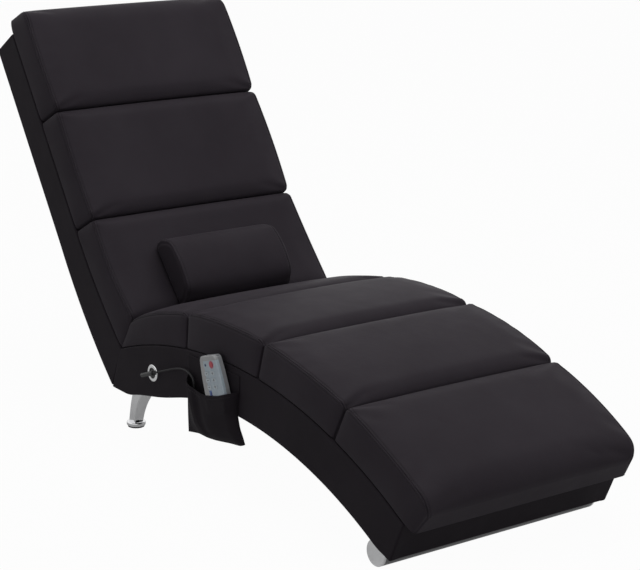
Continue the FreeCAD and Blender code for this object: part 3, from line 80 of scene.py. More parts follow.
# Pads; the seat's pitch and the foot pad are in degrees of its arc, and the free ends are at foot and head
SEAT_PAD_HEIGHT = 0.085
BACK_PAD_HEIGHT = 0.078
LUMBAR_FOOT_HEIGHT = 0.086
PAD_PITCH = 13.05
FOOT_PAD_ANGLE = 13.5
FOOT_OVERHANG = 1.3
HEAD_OVERHANG = 0.034
SHOULDER_LENGTH = 0.265
PAD_GAP = 0.0015
PAD_LEAN = 0.008
PAD_CROWN = 0.005
PAD_SWELL = 0.001
PAD_SHOULDER = 0.011
PAD_BULGE = 0.004
SEAM_ROUND = 0.018
SEAM_DROP = 0.012
NOSE_DROP = 0.018
PLAN_ROUND = 0.005
PAD_LOW_ROUND = 0.005
SKIN_ROUND = 0.003
FREE_ROUND = 0.036
FREE_DROP = 0.036
FREE_PLAN = 0.010
SEAT_SEAM_LIFT = 0.006
REAR_DROP = 0.017
REAR_DROP_ANGLE = -5.0
REAR_DROP_SPAN = 16.0
LEAN_STRETCH = 0.75
BACK_SEAM_LIFT = 0.008

# Sewing
SEAM_DEPTH = 0.0022
SEAM_WIDTH = 0.0022
STITCH_INSET = 0.0075
STITCH_DIMPLE = 0.0012
DIMPLE_WIDTH = 0.0016
STITCH_PITCH = 0.0062
STITCH_LENGTH = 0.0043
STITCH_RADIUS = 0.0005
STITCH_START = 0.4 * SEAM_ROUND
STITCH_SIDES = 6
STITCH_RINGS = ((-0.5, 0.35), (-0.3, 1.0), (0.3, 1.0), (0.5, 0.35))
STITCH_SINK = 0.45

# Cloth
SWELL_FRAMES = 20
SWELL_PRESSURE = 4.0
PAD_CAP = 0.0045
PILLOW_CAP = 0.006
HELD_FOOT = 0.05
HELD_SEAM = 0.001

# Meshes: steps of the grids, and the closer cuts at their edges
PAD_STEP, PAD_STEP_UP = 0.014, 0.012
SKIN_STEPS = (0.016, 0.030, 0.014)
PILLOW_STEP = 0.010
FINE_ACROSS = [0.0, 0.0012, 0.0026, 0.0045, 0.0065, 0.0085, 0.0115, 0.016, 0.022]
FINE_ALONG = [0.0, 0.0012, 0.003, 0.006, 0.0105, 0.0155, 0.021, 0.029]
FINE_UP = [0.0, 0.0012, 0.0026, 0.0045, 0.0075, 0.012]
TINY = 1e-9


# Materials

def new_material(name):
    """New material with its shader and the object's coordinates."""
    material = bpy.data.materials.new(name)
    material.use_nodes = True
    tree = material.node_tree
    shader = tree.nodes["Principled BSDF"]
    place = tree.nodes.new("ShaderNodeTexCoord")
    return material, tree, shader, place.outputs["Object"]


def new_node(tree, kind, values, links):
    """Shader node with some of its inputs set and others linked."""
    node = tree.nodes.new(kind)
    for name, value in values.items():
        node.inputs[name].default_value = value
    for name, source in links.items():
        tree.links.new(source, node.inputs[name])
    return node


def noise(tree, place, scale, detail=3.0, rough=0.5):
    """Noise over the object, as a factor."""
    values = {"Scale": scale, "Detail": detail, "Roughness": rough}
    return new_node(tree, "ShaderNodeTexNoise", values, {"Vector": place}).outputs["Fac"]


def ramp(tree, factor, low, high, start=0.3, stop=0.7):
    """Colours that follow a factor."""
    node = tree.nodes.new("ShaderNodeValToRGB")
    node.color_ramp.elements[0].position = start
    node.color_ramp.elements[1].position = stop
    node.color_ramp.elements[0].color = (*low, 1)
    node.color_ramp.elements[1].color = (*high, 1)
    tree.links.new(factor, node.inputs["Fac"])
    return node.outputs["Color"]


def spread(tree, factor, low, high):
    """Factor stretched to a range of values."""
    node = new_node(tree, "ShaderNodeMapRange", {"To Min": low, "To Max": high}, {"Value": factor})
    return node.outputs["Result"]


def bump(tree, height, distance, strength, under=None):
    """Relief from a height, laid over another relief if there is one."""
    values, links = {"Distance": distance, "Strength": strength}, {"Height": height}
    if under is not None:
        links["Normal"] = under
    return new_node(tree, "ShaderNodeBump", values, links).outputs["Normal"]


def grain(tree, place, scale):
    """Pebbled leather grain as a height."""
    node = new_node(tree, "ShaderNodeTexVoronoi", {"Scale": scale}, {"Vector": place})
    node.feature = "SMOOTH_F1"
    return node.outputs["Distance"]


def dress(tree, shader, colour, rough, relief):
    """Wire a colour, a roughness and a relief to a shader."""
    for name, value in (("Base Color", colour), ("Roughness", rough), ("Normal", relief)):
        tree.links.new(value, shader.inputs[name])


def sums(tree, operation, first, second):
    """Two values, or a value and a number, put together."""
    node = tree.nodes.new("ShaderNodeMath")
    node.operation = operation
    for socket, item in zip(node.inputs, (first, second)):
        if isinstance(item, (int, float)):
            socket.default_value = item
        else:
            tree.links.new(item, socket)
    return node.outputs["Value"]


def leatherette(name, low, high, rough):
    """Matte coated cloth with a fine pebble, faint creases and soft changes of tone."""
    material, tree, shader, place = new_material(name)
    tone = ramp(tree, noise(tree, place, 5.0, 4.0, 0.55), low, high)
    matte = spread(tree, noise(tree, place, 24.0), rough - 0.06, rough + 0.06)
    crease = bump(tree, noise(tree, place, 13.0, 6.0, 0.62), 0.0030, 0.30)
    pebble = bump(tree, grain(tree, place, 620.0), 0.00035, 0.35, crease)
    dress(tree, shader, tone, matte, pebble)
    shader.inputs["Specular IOR Level"].default_value = 0.06
    shader.inputs["Sheen Weight"].default_value = 0.02
    shader.inputs["Sheen Roughness"].default_value = 0.5
    return material


def metal(name, colour, rough, scratch):
    """Polished or plated metal with faint smears."""
    material, tree, shader, place = new_material(name)
    shader.inputs["Metallic"].default_value = 1.0
    dark = tuple(0.93 * part for part in colour)
    tone = ramp(tree, noise(tree, place, 18.0), dark, colour)
    polish = spread(tree, noise(tree, place, 60.0, 4.0), rough, rough + scratch)
    dress(tree, shader, tone, polish, bump(tree, noise(tree, place, 9.0), 0.0004, 0.04))
    return material


def plastic(name, colour, rough, gloss=0.5):
    """Moulded plastic or rubber with a fine spark-eroded grain."""
    material, tree, shader, place = new_material(name)
    dark = tuple(0.86 * part for part in colour)
    tone = ramp(tree, noise(tree, place, 40.0), dark, colour)
    polish = spread(tree, noise(tree, place, 130.0), rough - 0.05, rough + 0.07)
    dress(tree, shader, tone, polish, bump(tree, noise(tree, place, 900.0), 0.0002, 0.25))
    shader.inputs["Specular IOR Level"].default_value = gloss
    return material


def woven(name, low, high, scale):
    """Plain woven cloth: two crossed sets of yarns."""
    material, tree, shader, place = new_material(name)
    yarns = []
    for direction in ("X", "Y"):
        node = new_node(tree, "ShaderNodeTexWave", {"Scale": scale, "Distortion": 0.6}, {"Vector": place})
        node.bands_direction = direction
        yarns.append(node.outputs["Fac"])
    cross = sums(tree, "MULTIPLY", *yarns)
    tree.links.new(ramp(tree, cross, low, high, 0.1, 0.9), shader.inputs["Base Color"])
    tree.links.new(bump(tree, cross, 0.0005, 0.5), shader.inputs["Normal"])
    shader.inputs["Roughness"].default_value = 0.85
    return material


def plywood(name):
    """Pale plywood with long grain."""
    material, tree, shader, place = new_material(name)
    values = {"Scale": 14.0, "Distortion": 6.0, "Detail": 3.0}
    node = new_node(tree, "ShaderNodeTexWave", values, {"Vector": place})
    node.bands_direction = "Z"
    tone = ramp(tree, node.outputs["Fac"], (0.40, 0.27, 0.14), (0.58, 0.43, 0.26))
    matte = spread(tree, noise(tree, place, 50.0), 0.5, 0.7)
    dress(tree, shader, tone, matte, bump(tree, node.outputs["Fac"], 0.0004, 0.2))
    return material


# Print on the handset, placed across from its middle and up from its foot

HANDSET_FOOT = Vector((0.1522, -0.2686, 0.16925))
HANDSET_RIGHT = Vector((0.95372, 0.0, 0.30071))
HANDSET_UP = Vector((-0.30042, -0.04362, 0.95281))
KEY_COLUMN = 0.011
KEY_LOW = 0.0555
KEY_PITCH = 0.014
POWER_HEIGHT = 0.101
PANEL_ACROSS, PANEL_UP = (-0.0165, 0.2), (0.004, 0.1095)
PATCH_ACROSS, PATCH_UP = (-0.0160, -0.0065), (0.030, 0.0485)
POWER_RING, WINDOW_RING, RING_SOFT = 0.0082, 0.0075, 0.0012
MARK_LONG, MARK_THIN, MARK_SOFT = (-0.0028, 0.0028), (-0.0006, 0.0006), 0.0002
PRINT_SOFT = 0.0004


def handset_place(tree, place):
    """Place on the handset: across from its middle and up from its foot."""
    lengths = []
    for direction in (HANDSET_RIGHT, HANDSET_UP):
        node = tree.nodes.new("ShaderNodeVectorMath")
        node.operation = "DOT_PRODUCT"
        node.inputs[1].default_value = direction
        tree.links.new(place, node.inputs[0])
        lengths.append(sums(tree, "SUBTRACT", node.outputs["Value"], HANDSET_FOOT.dot(direction)))
    return lengths


def inside(tree, value, low, high, soft=PRINT_SOFT):
    """Mask that is 1 where a value lies between two limits."""
    mask = None
    for limit, start, stop in ((low, 0.0, 1.0), (high, 1.0, 0.0)):
        edge = {"From Min": limit - soft, "From Max": limit + soft, "To Min": start, "To Max": stop}
        node = new_node(tree, "ShaderNodeMapRange", edge, {"Value": value})
        node.interpolation_type = "SMOOTHSTEP"
        result = node.outputs["Result"]
        mask = result if mask is None else sums(tree, "MULTIPLY", mask, result)
    return mask


def rectangle(tree, across, up, sides, levels, soft=PRINT_SOFT):
    """Mask of an upright rectangle on the handset."""
    return sums(tree, "MULTIPLY", inside(tree, across, *sides, soft), inside(tree, up, *levels, soft))


def disc(tree, across, up, spot, radius, soft):
    """Mask of a round spot on the handset."""
    squares = []
    for value, centre in zip((across, up), spot):
        gap = sums(tree, "SUBTRACT", value, centre)
        squares.append(sums(tree, "MULTIPLY", gap, gap))
    distance = sums(tree, "SQRT", sums(tree, "ADD", *squares), 0.0)
    return inside(tree, distance, -1.0, radius, soft)


def over(tree, mask, under, colour):
    """A colour, or a changing one, laid over another where a mask says."""
    node = tree.nodes.new("ShaderNodeMix")
    node.data_type = "RGBA"
    tree.links.new(mask, node.inputs["Factor"])
    tree.links.new(under, node.inputs["A"])
    if isinstance(colour, tuple):
        node.inputs["B"].default_value = (*colour, 1)
    else:
        tree.links.new(colour, node.inputs["B"])
    return node.outputs["Result"]


def satin(tree, shader, place, colour, low, high):
    """Wire a colour to a satin plastic with a fine grain."""
    polish = spread(tree, noise(tree, place, 130.0), low, high)
    dress(tree, shader, colour, polish, bump(tree, noise(tree, place, 900.0), 0.0002, 0.2))


def handset_face(name):
    """Satin silver shell with a printed pale panel, a coloured patch and rings round the upper keys."""
    material, tree, shader, place = new_material(name)
    across, up = handset_place(tree, place)
    colour = ramp(tree, noise(tree, place, 40.0), (0.50, 0.505, 0.515), (0.58, 0.585, 0.595))
    pale = ramp(tree, noise(tree, place, 90.0), (0.52, 0.62, 0.70), (0.62, 0.71, 0.78))
    colour = over(tree, rectangle(tree, across, up, PANEL_ACROSS, PANEL_UP), colour, pale)
    streaks = ramp(tree, noise(tree, place, 260.0), (0.015, 0.040, 0.26), (0.16, 0.28, 0.60), 0.38, 0.66)
    colour = over(tree, rectangle(tree, across, up, PATCH_ACROSS, PATCH_UP), colour, streaks)
    for column, radius, tint in ((KEY_COLUMN, POWER_RING, (0.56, 0.17, 0.24)),
                                 (-KEY_COLUMN, WINDOW_RING, (0.55, 0.65, 0.72))):
        ring = disc(tree, across, up, (column, POWER_HEIGHT), radius, RING_SOFT)
        colour = over(tree, ring, colour, tint)
    satin(tree, shader, place, colour, 0.30, 0.42)
    return material


def key_look(name):
    """Pale satin keys, marked with a minus on the left and a plus on the right."""
    material, tree, shader, place = new_material(name)
    across, up = handset_place(tree, place)
    column = sums(tree, "SUBTRACT", sums(tree, "ABSOLUTE", across, 0.0), KEY_COLUMN)
    steps = sums(tree, "DIVIDE", sums(tree, "SUBTRACT", up, KEY_LOW), KEY_PITCH)
    nearest = sums(tree, "ROUND", steps, 0.0)
    row = sums(tree, "MULTIPLY", sums(tree, "SUBTRACT", steps, nearest), KEY_PITCH)
    bar = rectangle(tree, column, row, MARK_LONG, MARK_THIN, MARK_SOFT)
    post = rectangle(tree, column, row, MARK_THIN, MARK_LONG, MARK_SOFT)
    post = sums(tree, "MULTIPLY", post, inside(tree, across, 0.0, 1.0))
    colour = ramp(tree, noise(tree, place, 60.0), (0.60, 0.68, 0.74), (0.68, 0.75, 0.80))
    colour = over(tree, sums(tree, "MAXIMUM", bar, post), colour, (0.035, 0.045, 0.060))
    satin(tree, shader, place, colour, 0.34, 0.46)
    return material


# Looks of the slots, and of single pieces

PAD_LEATHER = leatherette("pad_leatherette", (0.0330, 0.0272, 0.0340), (0.0425, 0.0358, 0.0440), 0.56)
# Cover leatherette: the pads' leatherette made darker, as painted shade on the sides and front of the base and
# back
COVER_LEATHER_SHADED = leatherette("cover_leatherette", (0.0185, 0.0148, 0.0190), (0.0250, 0.0205, 0.0255), 0.60)
POCKET_CLOTH = leatherette("pocket_cloth", (0.0150, 0.0120, 0.0155), (0.0215, 0.0178, 0.0220), 0.66)
# Thread: its own black, made darker still as painted shade of the stitch grooves
THREAD_DARK_WITH_GROOVE_SHADE = woven("thread", (0.007, 0.006, 0.008), (0.020, 0.018, 0.021), 900.0)
DUST_CLOTH = woven("dust_cloth", (0.018, 0.018, 0.019), (0.036, 0.036, 0.038), 300.0)
BLACK_RUBBER = plastic("black_rubber", (0.024, 0.023, 0.025), 0.62, 0.28)
# Foot tube: chrome with a dark colour, which is painted shade and painted dark reflection from under the base
TUBE_CHROME_PAINTED_DARK = metal("tube_chrome_painted_dark", (0.20, 0.20, 0.206), 0.22, 0.10)
RING_CHROME = metal("ring_chrome", (0.86, 0.865, 0.875), 0.05, 0.06)
HANDSET_FACE = handset_face("handset_face")
SLOT_LOOKS = {
    "pad_leatherette": PAD_LEATHER,
    "cover_leatherette": COVER_LEATHER_SHADED,
    "frame_wood": plywood("frame_wood"),
    "webbing_fabric": woven("webbing_fabric", (0.030, 0.030, 0.031), (0.075, 0.074, 0.073), 420.0),
    "chrome": metal("chrome", (0.82, 0.825, 0.835), 0.05, 0.06),
    "plain_steel": metal("plain_steel", (0.56, 0.57, 0.58), 0.28, 0.14),
    "black_plastic": plastic("black_plastic", (0.022, 0.022, 0.024), 0.42),
    "board_laminate": plastic("board_laminate", (0.045, 0.20, 0.075), 0.45),
    "black_rubber": BLACK_RUBBER,
    "handset_silver": plastic("handset_silver", (0.40, 0.41, 0.43), 0.34),
    "handset_keys": key_look("handset_keys"),
    "power_red": plastic("power_red", (0.72, 0.10, 0.13), 0.38),
    "window_lens": plastic("window_lens", (0.06, 0.10, 0.22), 0.2),
}


def paint(thing, material):
    """Give an object one material."""
    thing.data.materials.clear()
    thing.data.materials.append(material)


def paint_nodes():
    """Give every node of the frame the look of its slot, and three of them a look of their own; the foot tube's
    chrome is painted dark as painted shade and painted dark reflection.
    """
    for entry in frame["record"]["subparts"]:
        paint(nodes[entry["node"]], SLOT_LOOKS[entry["material_slot"]])
    paint(nodes["handset_front_shell"], HANDSET_FACE)
    # the foot tube's chrome is painted dark: painted shade and painted reflection
    paint(nodes["front_foot_tube"], TUBE_CHROME_PAINTED_DARK)
    paint(nodes["socket_ring"], RING_CHROME)


# Mesh helpers

def new_piece(name, points, faces, material):
    """Mesh object from points and faces, linked to the scene and smooth."""
    mesh = bpy.data.meshes.new(name)
    mesh.from_pydata([tuple(point) for point in points], [], faces)
    mesh.update()
    mesh.polygons.foreach_set("use_smooth", [True] * len(mesh.polygons))
    thing = bpy.data.objects.new(name, mesh)
    scene.collection.objects.link(thing)
    paint(thing, material)
    return thing


def face_outward(thing):
    """Turn a closed mesh's faces outward."""
    work = bmesh.new()
    work.from_mesh(thing.data)
    bmesh.ops.recalc_face_normals(work, faces=work.faces)
    work.to_mesh(thing.data)
    work.free()


def rows_of(items, name):
    """Vectors of a mesh's vertices or normals as rows."""
    flat = np.empty(len(items) * 3)
    items.foreach_get(name, flat)
    return flat.reshape(-1, 3)


def points_of(mesh):
    """Vertices of a mesh as rows."""
    return rows_of(mesh.vertices, "co")


def set_points(mesh, points):
    """Move a mesh's vertices."""
    mesh.vertices.foreach_set("co", np.ascontiguousarray(points).ravel())
    mesh.update()


def box_surface(cuts):
    """Grid places and faces on the surface of a box with given cuts along its three directions."""
    counts = [len(line) for line in cuts]
    index, places, faces = {}, [], []

    def corner(*key):
        if key not in index:
            index[key] = len(places)
            places.append([line[step] for line, step in zip(cuts, key)])
        return index[key]

    for fixed in range(3):
        first, second = [axis for axis in range(3) if axis != fixed]
        for level in (0, counts[fixed] - 1):
            for i in range(counts[first] - 1):
                for j in range(counts[second] - 1):
                    loop = []
                    for a, b in ((0, 0), (1, 0), (1, 1), (0, 1)):
                        key = [0, 0, 0]
                        key[fixed], key[first], key[second] = level, i + a, j + b
                        loop.append(corner(*key))
                    faces.append(loop)
    return np.array(places, float), faces


def with_modifiers(thing):
    """Replace an object's mesh by what its modifiers make of it."""
    graph = bpy.context.evaluated_depsgraph_get()
    graph.update()
    mesh = bpy.data.meshes.new_from_object(thing.evaluated_get(graph), preserve_all_data_layers=True,
                                           depsgraph=graph)
    thing.modifiers.clear()
    thing.data = mesh


def subdivide(thing):
    """Smooth a mesh by one step of subdivision."""
    thing.modifiers.new("smooth", "SUBSURF").levels = 1
    with_modifiers(thing)


def keep_values(thing, name, values):
    """Store a number for each vertex."""
    layer = thing.data.attributes.new(name, "FLOAT", "POINT")
    layer.data.foreach_set("value", values.astype(np.float32))


def read_values(thing, name):
    """Numbers stored for the vertices."""
    values = np.empty(len(thing.data.vertices), np.float32)
    thing.data.attributes[name].data.foreach_get("value", values)
    return values


def inflate(thing, held, cap):
    """Let air pressure swell a padded piece as cloth, with some vertices held and all movement capped."""
    rest = points_of(thing.data)
    pins = thing.vertex_groups.new(name="held")
    pins.add([int(number) for number in np.flatnonzero(held)], 1.0, "REPLACE")
    cloth = thing.modifiers.new("swell", "CLOTH")
    cloth.settings.quality = 5
    cloth.settings.mass = 0.3
    cloth.settings.tension_stiffness = 30
    cloth.settings.compression_stiffness = 30
    cloth.settings.shear_stiffness = 10
    cloth.settings.bending_stiffness = 2
    cloth.settings.use_pressure = True
    cloth.settings.uniform_pressure_force = SWELL_PRESSURE
    cloth.settings.effector_weights.gravity = 0
    cloth.settings.vertex_group_mass = pins.name
    cloth.collision_settings.use_collision = False
    cloth.point_cache.frame_start = 1
    cloth.point_cache.frame_end = SWELL_FRAMES
    for step in range(1, SWELL_FRAMES + 1):
        scene.frame_set(step)
    graph = bpy.context.evaluated_depsgraph_get()
    swollen = points_of(thing.evaluated_get(graph).data)
    thing.modifiers.clear()
    thing.vertex_groups.clear()
    scene.frame_set(1)
    move = swollen - rest
    reach = np.linalg.norm(move, axis=1, keepdims=True)
    set_points(thing.data, rest + move * np.minimum(1.0, cap / np.maximum(reach, TINY)))


def sew(thing):
    """Draw the seams in and dimple the row of stitches beside them."""
    distance = read_values(thing, "seam")
    top = read_values(thing, "stitched")
    depth = SEAM_DEPTH * np.exp(-(distance / SEAM_WIDTH) ** 2)
    depth += top * STITCH_DIMPLE * np.exp(-((distance - STITCH_INSET) / DIMPLE_WIDTH) ** 2)
    normals = rows_of(thing.data.vertex_normals, "vector")
    set_points(thing.data, points_of(thing.data) - normals * depth[:, None])


def close_cuts(start, stop, step, fine):
    """Cuts from start to stop, close together at both ends."""
    inner = [start + item for item in fine] + [stop - item for item in reversed(fine)]
    middle_start, middle_stop = start + fine[-1], stop - fine[-1]
    count = max(1, round((middle_stop - middle_start) / step))
    middle = [middle_start + (middle_stop - middle_start) * item / count for item in range(1, count)]
    return np.array(sorted(inner + middle))


# Soft forms

def tilted(degrees):
    """Unit vectors in the side view, tilted from the vertical towards the foot end."""
    angle = np.radians(degrees)
    return np.stack([np.sin(angle), np.zeros_like(angle), np.cos(angle)], axis=-1)


def ease(value):
    """Smooth step from 0 to 1."""
    value = np.clip(value, 0.0, 1.0)
    return value * value * (3 - 2 * value)


def roll(distance, edge):
    """Share of the drop at a rounded end, by the distance from that end."""
    near = np.clip(distance / edge, 0.0, 1.0)
    return 1 - np.sqrt(1 - (1 - near) ** 2)


def end_share(distance, length, edge):
    """Share of the drop at the rounded ends of a soft piece."""
    return roll(np.minimum(distance, length - distance), edge)


def quarter(across, rise, radius):
    """Bring the square corner of a section onto a quarter circle; places in it run from 0 to 1."""
    largest, length = np.maximum(across, rise), np.hypot(across, rise)
    factor = np.where(length > 0, largest / np.maximum(length, TINY), 1.0)
    return radius * (1 - across * factor), radius * (1 - rise * factor)


def section(v, w, low, half, height, top_round, low_round):
    """Outline across a soft piece: v runs across from -1 to 1 and w from its foot at 0 to its top at 1."""
    rise = w * height
    side = low + (half - low) * np.minimum(rise / (height - top_round), 1.0)
    across = np.abs(v) * side
    for radius, upper in ((top_round, True), (low_round, False)):
        gap = height - rise if upper else rise
        out = np.clip(1 - (side - across) / radius, 0, 1)
        up = np.clip(1 - gap / radius, 0, 1)
        corner = (out > 0) & (up > 0)
        in_side, in_gap = quarter(out, up, radius)
        across = np.where(corner, side - in_side, across)
        rise = np.where(corner, height - in_gap if upper else in_gap, rise)
    return np.sign(v) * across, rise


def pad_values(places, length, half, height):
    """Distance of a boxed pad's vertices from the seam of its side panels, and whether stitches run there."""
    s, v, w = places.T
    side = np.abs(v) >= 1 - TINY
    panel = np.minimum(np.minimum((1 - w) * height, s), length - s)
    top = (1 - np.abs(v)) * half
    below = (w <= TINY) & (s > TINY) & (s < length - TINY)
    distance = np.where(side, panel, np.where(below, 1.0, top))
    stitched = (w >= 1 - TINY) | (side & ((1 - w) * height <= panel + TINY))
    return distance, stitched.astype(float)


def make_pad(name, length, station, free=False):
    """Boxed pad on the frame: a crowned top panel, swelling side panels, sewn edges and rows of stitches."""
    height = SEAT_PAD_HEIGHT
    cuts = [close_cuts(0.0, length, PAD_STEP, FINE_ALONG),
            close_cuts(-HALF_WIDTH, HALF_WIDTH, PAD_STEP, FINE_ACROSS) / HALF_WIDTH,
            close_cuts(0.0, height, PAD_STEP_UP, FINE_UP) / height]
    places, faces = box_surface(cuts)
    thing = new_piece(name + "_upholstery", pad_points(places, length, station, free), faces, PAD_LEATHER)
    face_outward(thing)
    distance, stitched = pad_values(places, length, HALF_WIDTH, height)
    keep_values(thing, "seam", distance)
    keep_values(thing, "stitched", stitched)
    s, _, w = places.T
    ends = (s <= TINY) | (s >= length - TINY)
    inflate(thing, (w < HELD_FOOT) | ends | (distance < HELD_SEAM), PAD_CAP)
    subdivide(thing)
    sew(thing)
    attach(thing, "chair")
    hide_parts(name)
    line = np.arange(STITCH_START, length - STITCH_START, STITCH_PITCH)
    rows = []
    for side in (-1, 1):
        for inset, drop in ((STITCH_INSET, 0.0), (0.0, STITCH_INSET)):
            across = np.full_like(line, side * (1 - inset / HALF_WIDTH))
            track = np.stack([line, across, np.full_like(line, 1 - drop / height)], axis=-1)
            rows.append(pad_points(track, length, station, free))
    make_stitches(name + "_stitches", thing, rows, "chair")


def pad_points(places, length, station, free):
    """Points of a pad for places given as distance along, share across and share up."""
    s, v, w = places.T
    foot, up, height = station(s)
    far_end = (FREE_ROUND, FREE_DROP, FREE_PLAN) if free else (SEAM_ROUND, NOSE_DROP, PLAN_ROUND)
    last_round, last_drop, last_plan = far_end
    first, last = roll(s, SEAM_ROUND), roll(length - s, last_round)
    waist = 1 - (2 * s / length - 1) ** 2
    low = HALF_WIDTH - PLAN_ROUND * first - last_plan * last
    half = low - PAD_LEAN + PAD_BULGE * waist
    full = height + PAD_SWELL * waist - SEAM_DROP * first - last_drop * last
    across, rise = section(v, w, low, half, full, PAD_SHOULDER, PAD_LOW_ROUND)
    rise = rise + PAD_CROWN * (1 - v ** 2) * w ** 2
    points = foot + up * rise[:, None]
    points[:, 1] += across
    return points


def make_stitches(name, cloth, rows, body):
    """Rows of short threads laid on a piece of upholstery."""
    tree = BVHTree.FromObject(cloth, bpy.context.evaluated_depsgraph_get())
    points, faces = [], []
    for row in rows:
        for before, spot, after in zip(row, row[1:], row[2:]):
            centre, normal, _, _ = tree.find_nearest(Vector(spot))
            way = (Vector(after) - Vector(before)).normalized()
            across = normal.cross(way).normalized()
            first = len(points)
            for step, swell in STITCH_RINGS:
                middle = centre + way * step * STITCH_LENGTH + normal * STITCH_RADIUS * (swell - STITCH_SINK)
                for turn in range(STITCH_SIDES):
                    angle = math.tau * turn / STITCH_SIDES
                    points.append(middle + (across * math.cos(angle) + normal * math.sin(angle))
                                  * STITCH_RADIUS * swell)
            last = len(points) - STITCH_SIDES
            for ring in range(first, last, STITCH_SIDES):
                for turn in range(STITCH_SIDES):
                    a, b = ring + turn, ring + (turn + 1) % STITCH_SIDES
                    faces.append((a, b, b + STITCH_SIDES, a + STITCH_SIDES))
            faces.append(tuple(first + turn for turn in reversed(range(STITCH_SIDES))))
            faces.append(tuple(last + turn for turn in range(STITCH_SIDES)))
    # dark thread, partly painted shade of the stitch grooves
    thing = new_piece(name, points, faces, THREAD_DARK_WITH_GROOVE_SHADE)
    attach(thing, body)


def make_seat_pads():
    """Four pads along the seat's arc; the rearmost leans into the joint with the back."""
    seams = [JOINT_ANGLE]
    front = FRONT_ANGLE + FOOT_OVERHANG
    seams += [front - FOOT_PAD_ANGLE - number * PAD_PITCH for number in (2, 1, 0)] + [front]
    axis = np.array(AXIS)
    for name, first, last in zip(("hip_pad", "thigh_pad", "calf_pad", "foot_pad"), seams, seams[1:]):
        length = math.radians(last - first) * DECK_RADIUS - PAD_GAP
        lean = 90 - JOINT_SLOPE - first if name == "hip_pad" else 0.0

        def station(s):
            angle = first + np.degrees((s + PAD_GAP / 2) / DECK_RADIUS)
            tilt = lean * (1 - s / length) ** 2
            foot = axis + tilted(angle) * (DECK_RADIUS + SEAT_SEAM_LIFT)
            fall = REAR_DROP * np.clip((REAR_DROP_ANGLE - angle) / REAR_DROP_SPAN, 0.0, 1.0)
            height = SEAT_PAD_HEIGHT - SEAT_SEAM_LIFT - fall
            return foot, tilted(angle + tilt), height / np.cos(np.radians(tilt * LEAN_STRETCH))

        make_pad(name, length, station, name == "foot_pad")


def joint_place(step):
    """Point on the plane where the seat and the back meet, a step up from the deck."""
    slope = math.radians(JOINT_SLOPE)
    deck = AXIS + Vector(tilted(np.float64(JOINT_ANGLE))) * DECK_RADIUS
    return deck + Vector((math.cos(slope), 0.0, math.sin(slope))) * step


BACK_AXIS = joint_place(0.0) + Vector(tilted(np.float64(BACK_START))) * BACK_RADIUS
CLIMB = Vector((-math.cos(math.radians(BACK_LEAN)), 0.0, math.sin(math.radians(BACK_LEAN))))
OUT = Vector(tilted(np.float64(BACK_LEAN)))
KNEE = BACK_AXIS - OUT * BACK_RADIUS


def make_back_pads():
    """Three pads up the back; the lowest swells towards the joint with the seat."""
    arc = math.radians(BACK_LEAN - BACK_START) * BACK_RADIUS

    def lumbar_station(s):
        heading = BACK_START + np.degrees((s + PAD_GAP / 2) / BACK_RADIUS)
        share = (1 - s / arc) ** 2
        tilt = (90 - JOINT_SLOPE - BACK_START) * share
        height = BACK_PAD_HEIGHT + (LUMBAR_FOOT_HEIGHT - BACK_PAD_HEIGHT) * share - BACK_SEAM_LIFT
        foot = np.array(BACK_AXIS) - tilted(heading) * (BACK_RADIUS - BACK_SEAM_LIFT)
        return foot, tilted(heading + tilt), height / np.cos(np.radians(tilt))

    make_pad("lumbar_pad", arc - PAD_GAP, lumbar_station)
    top = STRAIGHT_LENGTH + HEAD_OVERHANG
    for name, first, last in (("shoulder_pad", 0.0, SHOULDER_LENGTH), ("head_pad", SHOULDER_LENGTH, top)):
        def station(s):
            reach = first + PAD_GAP / 2 + s
            foot = np.array(KNEE + OUT * BACK_SEAM_LIFT) + np.array(CLIMB) * reach[:, None]
            height = np.full_like(s, BACK_PAD_HEIGHT - BACK_SEAM_LIFT)
            return foot, np.broadcast_to(np.array(OUT), foot.shape), height

        make_pad(name, last - first - PAD_GAP, station, name == "head_pad")


# Skins of the base and the back; their deck lines lie just under the pads' feet

SKIN_UNDER = 0.0008
HEM_DROP = 0.0010
HEM_EDGE, HEM_FADE = 0.942, 0.03
HEM_SAG = 0.012
HEM_SAG_ANGLE = -13.5
HEM_SAG_WIDTH = 5.5
FRONT_HEM = 0.0065


def arc_line(start, end, radius, side, count):
    """Points along an arc in the side view that bulges to one side of the way from start to end."""
    chord = end - start
    normal = Vector((-chord.z, 0.0, chord.x)).normalized() * side
    middle = (start + end) / 2
    centre = middle - normal * math.sqrt(radius ** 2 - chord.length_squared / 4)
    first, last = start - centre, end - centre
    sweep = first.angle(last)
    line = []
    for step in range(count + 1):
        share = step / count
        weight_a, weight_b = math.sin((1 - share) * sweep), math.sin(share * sweep)
        line.append(centre + (first * weight_a + last * weight_b) / math.sin(sweep))
    return line


def along(line, shares):
    """Points at shares of a line's length."""
    line = np.array([list(point) for point in line])
    steps = np.linalg.norm(np.diff(line, axis=0), axis=1)
    reach = np.concatenate([[0.0], np.cumsum(steps)])
    return np.stack([np.interp(shares * reach[-1], reach, line[:, axis]) for axis in range(3)], axis=-1)


